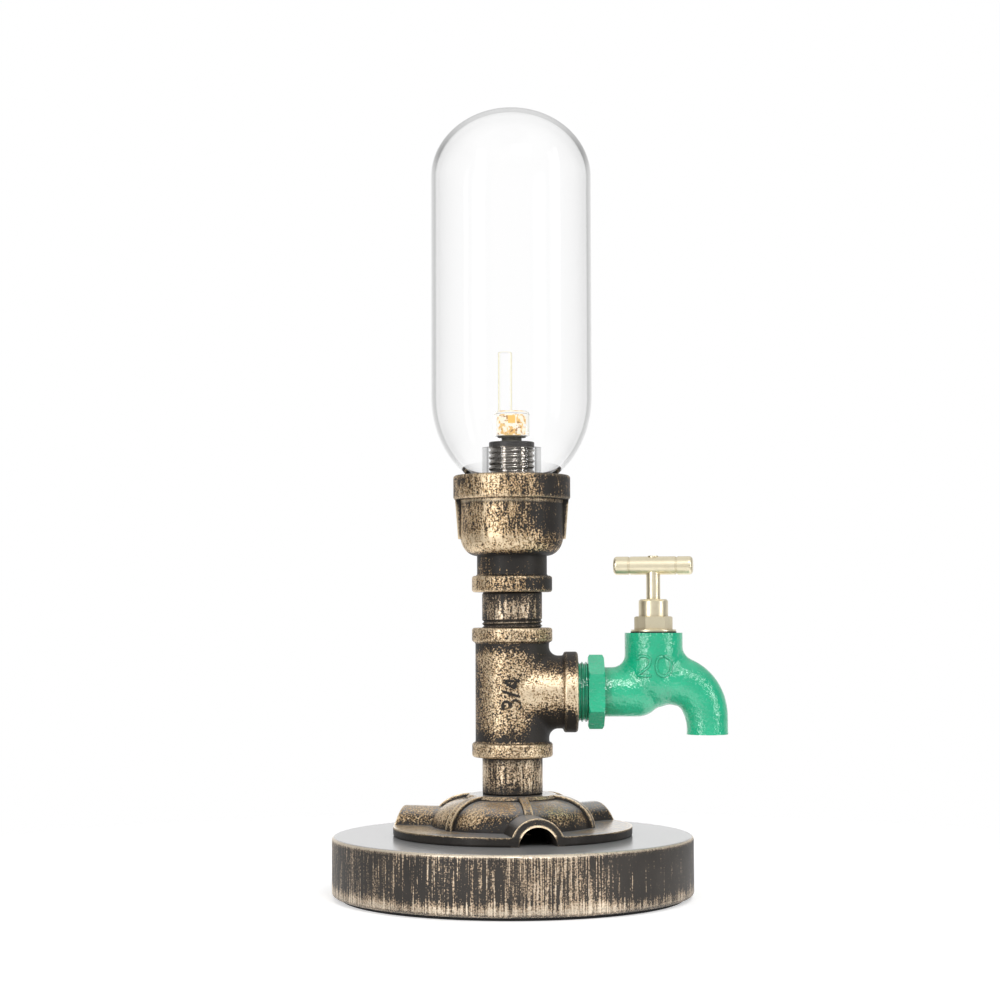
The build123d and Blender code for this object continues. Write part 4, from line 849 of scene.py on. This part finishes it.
# Strokes of the figures as (x, z) in millimetres: the tap's nominal size in millimetres, read level, and
# the tee's in inches, read upwards.
TWENTY = [
    [(54.7, 104.6), (56.2, 106.0), (58.4, 106.2), (60.2, 105.2), (60.5, 103.4), (59.3, 101.3), (57.1, 99.4),
     (54.9, 97.6)],
    [(54.9, 97.6), (61.2, 97.6)],
    [(66.5, 106.2), (64.3, 105.5), (63.4, 103.5), (63.3, 100.8), (64.2, 98.4), (66.5, 97.4), (68.7, 98.3),
     (69.7, 100.6), (69.7, 103.4), (68.7, 105.4), (66.5, 106.2)],
]
THREE_QUARTERS = [
    [(-3.9, 82.9), (-4.5, 84.8), (-3.6, 86.4), (-2.0, 86.4), (-1.1, 85.0), (-0.9, 84.1)],
    [(-0.9, 84.1), (-0.4, 86.2), (1.2, 87.2), (2.9, 86.4), (3.4, 84.6), (2.8, 82.8)],
    [(3.6, 88.6), (-4.6, 91.2)],
    [(3.4, 95.6), (-4.4, 95.6)],
    [(-4.4, 95.6), (1.3, 92.2)],
    [(1.3, 92.2), (1.3, 96.9)],
]


class PIPELAMP_OT_figures(bpy.types.Operator):
    """Raise the size figures cast on the tap and the tee"""

    bl_idname = "pipe_lamp.figures"
    bl_label = "Raise Size Figures"

    def execute(self, context):
        use = sizes()
        radius = use.figure_stroke / 2
        tap_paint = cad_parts["tap_body"].material_slots[0].material
        raised_figures("tap_size_figures", "tap_body", TWENTY, radius, radius * 0.1, tap_paint)
        tee_paint = dry_brushed("figure_bronze", grain_share=1.8, cover=0.1, edge_gain=0.0, bump=0.05)
        raised_figures("tee_size_figures", "tee", THREE_QUARTERS, radius, radius * 0.45, tee_paint)
        return {"FINISHED"}


class PIPELAMP_OT_inside(bpy.types.Operator):
    """Finish the screws, the underside and the parts inside the base"""

    bl_idname = "pipe_lamp.inside"
    bl_label = "Finish Inside Parts"

    def execute(self, context):
        steel = turned_metal("zinc_steel", colour("steel"), roughness=0.3)
        wear(["cover_screws", "clamp_screws", "terminal_screws", "block_screw", "flange_washers",
              "flange_screws", "seat_plate", "sleeve_nuts"], steel)
        wear(["foot_pad"], moulded("foot_felt", (0.02, 0.02, 0.021), 0.85, 0.35, 0.05))
        wear(["bottom_cover"], moulded("cover_paint", (0.04, 0.04, 0.042), 0.45, 0.4, 0.01))
        wear(["cord_bush"], moulded("black_plastic", (0.02, 0.02, 0.02), 0.4))
        wear(["cord_clamp"], moulded("clamp_nylon", (0.75, 0.73, 0.66), 0.45))
        wear(["terminal_block"], moulded("terminal_nylon", (0.78, 0.77, 0.72), 0.4))
        wear(["terminal_barrels", "lamp_contacts"],
             turned_metal("contact_brass", colour("brass", 0.85), roughness=0.3))
        wear(["live_lead"], moulded("brown_insulation", (0.16, 0.065, 0.03), 0.45))
        wear(["neutral_lead"], moulded("blue_insulation", (0.03, 0.12, 0.42), 0.45))
        return {"FINISHED"}


# Soft lights on the camera's side: name, place, the height they look at, width and height in metres, and
# share of the side lights' power
SIDE_LIGHTS = [
    ("left_softbox", (-0.80, -0.92, 0.40), 0.18, (0.15, 1.2), 1.0),
    ("right_softbox", (1.05, -0.60, 0.40), 0.18, (0.12, 1.2), 0.7),
    ("front_softbox", (0.25, -1.0, 0.95), 0.12, (0.42, 0.26), 0.85),
]


class PIPELAMP_OT_stage(bpy.types.Operator):
    """Set the floor, the soft lights, the white surroundings and the camera"""

    bl_idname = "pipe_lamp.stage"
    bl_label = "Set Stage"

    def execute(self, context):
        use = context.scene.pipe_lamp_stage
        lay_floor()
        light_room(use.fill)
        for name, place, aim_height, size, share in SIDE_LIGHTS:
            add_softbox(name, place, aim_height, size, use.side_power * share)
        overhead = add_softbox("top_softbox", (0.0, 0.15, 1.25), 0.1, (1.5, 1.5), use.top_power)
        overhead.visible_glossy = False
        set_camera(use)
        context.scene.view_settings.view_transform = "Standard"
        return {"FINISHED"}


def set_camera(use):
    """The camera, which looks up a little."""
    eye = bpy.data.cameras.new("camera")
    eye.lens = use.lens
    eye.sensor_width = 36.0
    camera = bpy.data.objects.new("camera", eye)
    camera.location = use.place
    camera.rotation_euler = (math.pi / 2 + use.tilt, use.roll, 0.0)
    bpy.context.scene.collection.objects.link(camera)
    bpy.context.scene.camera = camera


def add_softbox(name, place, aim_height, size, power):
    """A rectangular light that looks at the lamp's axis; it shows in reflections but not to the camera."""
    lamp = bpy.data.lights.new(name, "AREA")
    lamp.shape = "RECTANGLE"
    lamp.size, lamp.size_y = size
    lamp.energy = power
    holder = bpy.data.objects.new(name, lamp)
    holder.location = place
    holder.rotation_euler = (Vector((0, 0, aim_height)) - Vector(place)).to_track_quat("-Z", "Y").to_euler()
    holder.visible_camera = False
    holder.visible_transmission = False
    bpy.context.scene.collection.objects.link(holder)
    return holder


def lay_floor():
    """A pale round floor that fades out into the white surroundings."""
    reach, fade_start, fade_end = 0.75, 0.16, 0.42
    turn = np.linspace(0.0, 2.0 * math.pi, 96, endpoint=False)
    points = np.stack([reach * np.cos(turn), reach * np.sin(turn), np.zeros_like(turn)], axis=-1)
    mesh = bpy.data.meshes.new("floor")
    mesh.from_pydata(points.tolist(), [], [list(range(len(points)))])
    material, paint = new_paint("floor")
    where = paint.node("ShaderNodeTexCoord").outputs["Object"]
    away = paint.field("ShaderNodeVectorMath", {"operation": "LENGTH"}, {0: where}, "Value")
    pale = paint.blend(paint.noise(12.0) * 0.02, (0.8, 0.8, 0.8, 1.0), (0.75, 0.75, 0.75, 1.0))
    dull = paint.shader("ShaderNodeBsdfPrincipled", Base_Color=pale, Roughness=0.9,
                        Specular_IOR_Level=0.0, Emission_Color=WHITE, Emission_Strength=0.5)
    open_air = paint.shader("ShaderNodeBsdfTransparent")
    paint.show(paint.mix(away.between(fade_start, fade_end), dull, open_air))
    mesh.materials.append(material)
    floor = bpy.data.objects.new("floor", mesh)
    bpy.context.scene.collection.objects.link(floor)


def light_room(fill):
    """White surroundings to the eye and through glass; a plain fill on dull surfaces.

    Polished surfaces see a room that is white behind and above the lamp and dim on the camera's side, with
    a soft glow where the camera stands.
    """
    world = bpy.data.worlds.new("room")
    world.use_nodes = True
    bpy.context.scene.world = world
    paint = Paint(world.node_tree)
    ray = paint.node("ShaderNodeTexCoord").outputs["Generated"]
    depth = paint.part_of(ray, Y)
    height = paint.part_of(ray, Z)
    front = depth.between(-0.7, -0.95) * 0.3
    behind = depth.between(0.1, 0.6) * 0.55 + depth.between(0.86, 0.97) * 0.4
    behind = behind * (1.0 - height.between(0.15, 0.5) * 0.5)
    mirrored = front + behind + height.between(0.4, 0.95) * 0.5 + 0.18
    glossy = paint.ray("Is Glossy Ray")
    white = paint.field("ShaderNodeMath", {"operation": "MAXIMUM"},
                        {0: paint.ray("Is Camera Ray"), 1: paint.ray("Is Transmission Ray")})
    strength = fill * (1.0 - glossy) + mirrored * glossy
    strength = strength * (1.0 - white) + white
    paint.show(paint.shader("ShaderNodeBackground", Color=WHITE, Strength=strength),
               "ShaderNodeOutputWorld")


class VIEW3D_PT_pipe_lamp(bpy.types.Panel):
    """Steps that make the pipe lamp's looks"""

    bl_label = "Pipe Lamp"
    bl_space_type = "VIEW_3D"
    bl_region_type = "UI"
    bl_category = "Pipe Lamp"

    def draw(self, context):
        for name, group in GROUPS.items():
            column = self.layout.column()
            for value in group.__annotations__:
                column.prop(getattr(context.scene, name), value)
        for step in STEPS:
            self.layout.operator(step.bl_idname)


GROUPS = {"pipe_lamp_sizes": PipeLampSizes, "pipe_lamp_colours": PipeLampColours,
          "pipe_lamp_stage": PipeLampStage}
STEPS = [PIPELAMP_OT_fittings, PIPELAMP_OT_nipple, PIPELAMP_OT_holder, PIPELAMP_OT_shade, PIPELAMP_OT_bulb,
         PIPELAMP_OT_tap, PIPELAMP_OT_figures, PIPELAMP_OT_inside, PIPELAMP_OT_stage]
CLASSES = [*GROUPS.values(), *STEPS, VIEW3D_PT_pipe_lamp]


def register():
    for kind in CLASSES:
        bpy.utils.register_class(kind)
    for name, group in GROUPS.items():
        setattr(bpy.types.Scene, name, PointerProperty(type=group))


def unregister():
    for name in GROUPS:
        delattr(bpy.types.Scene, name)
    for kind in reversed(CLASSES):
        bpy.utils.unregister_class(kind)


def main():
    register()
    for step in STEPS:
        getattr(bpy.ops.pipe_lamp, step.bl_idname.split(".")[1])()


if __name__ == "__main__":
    main()
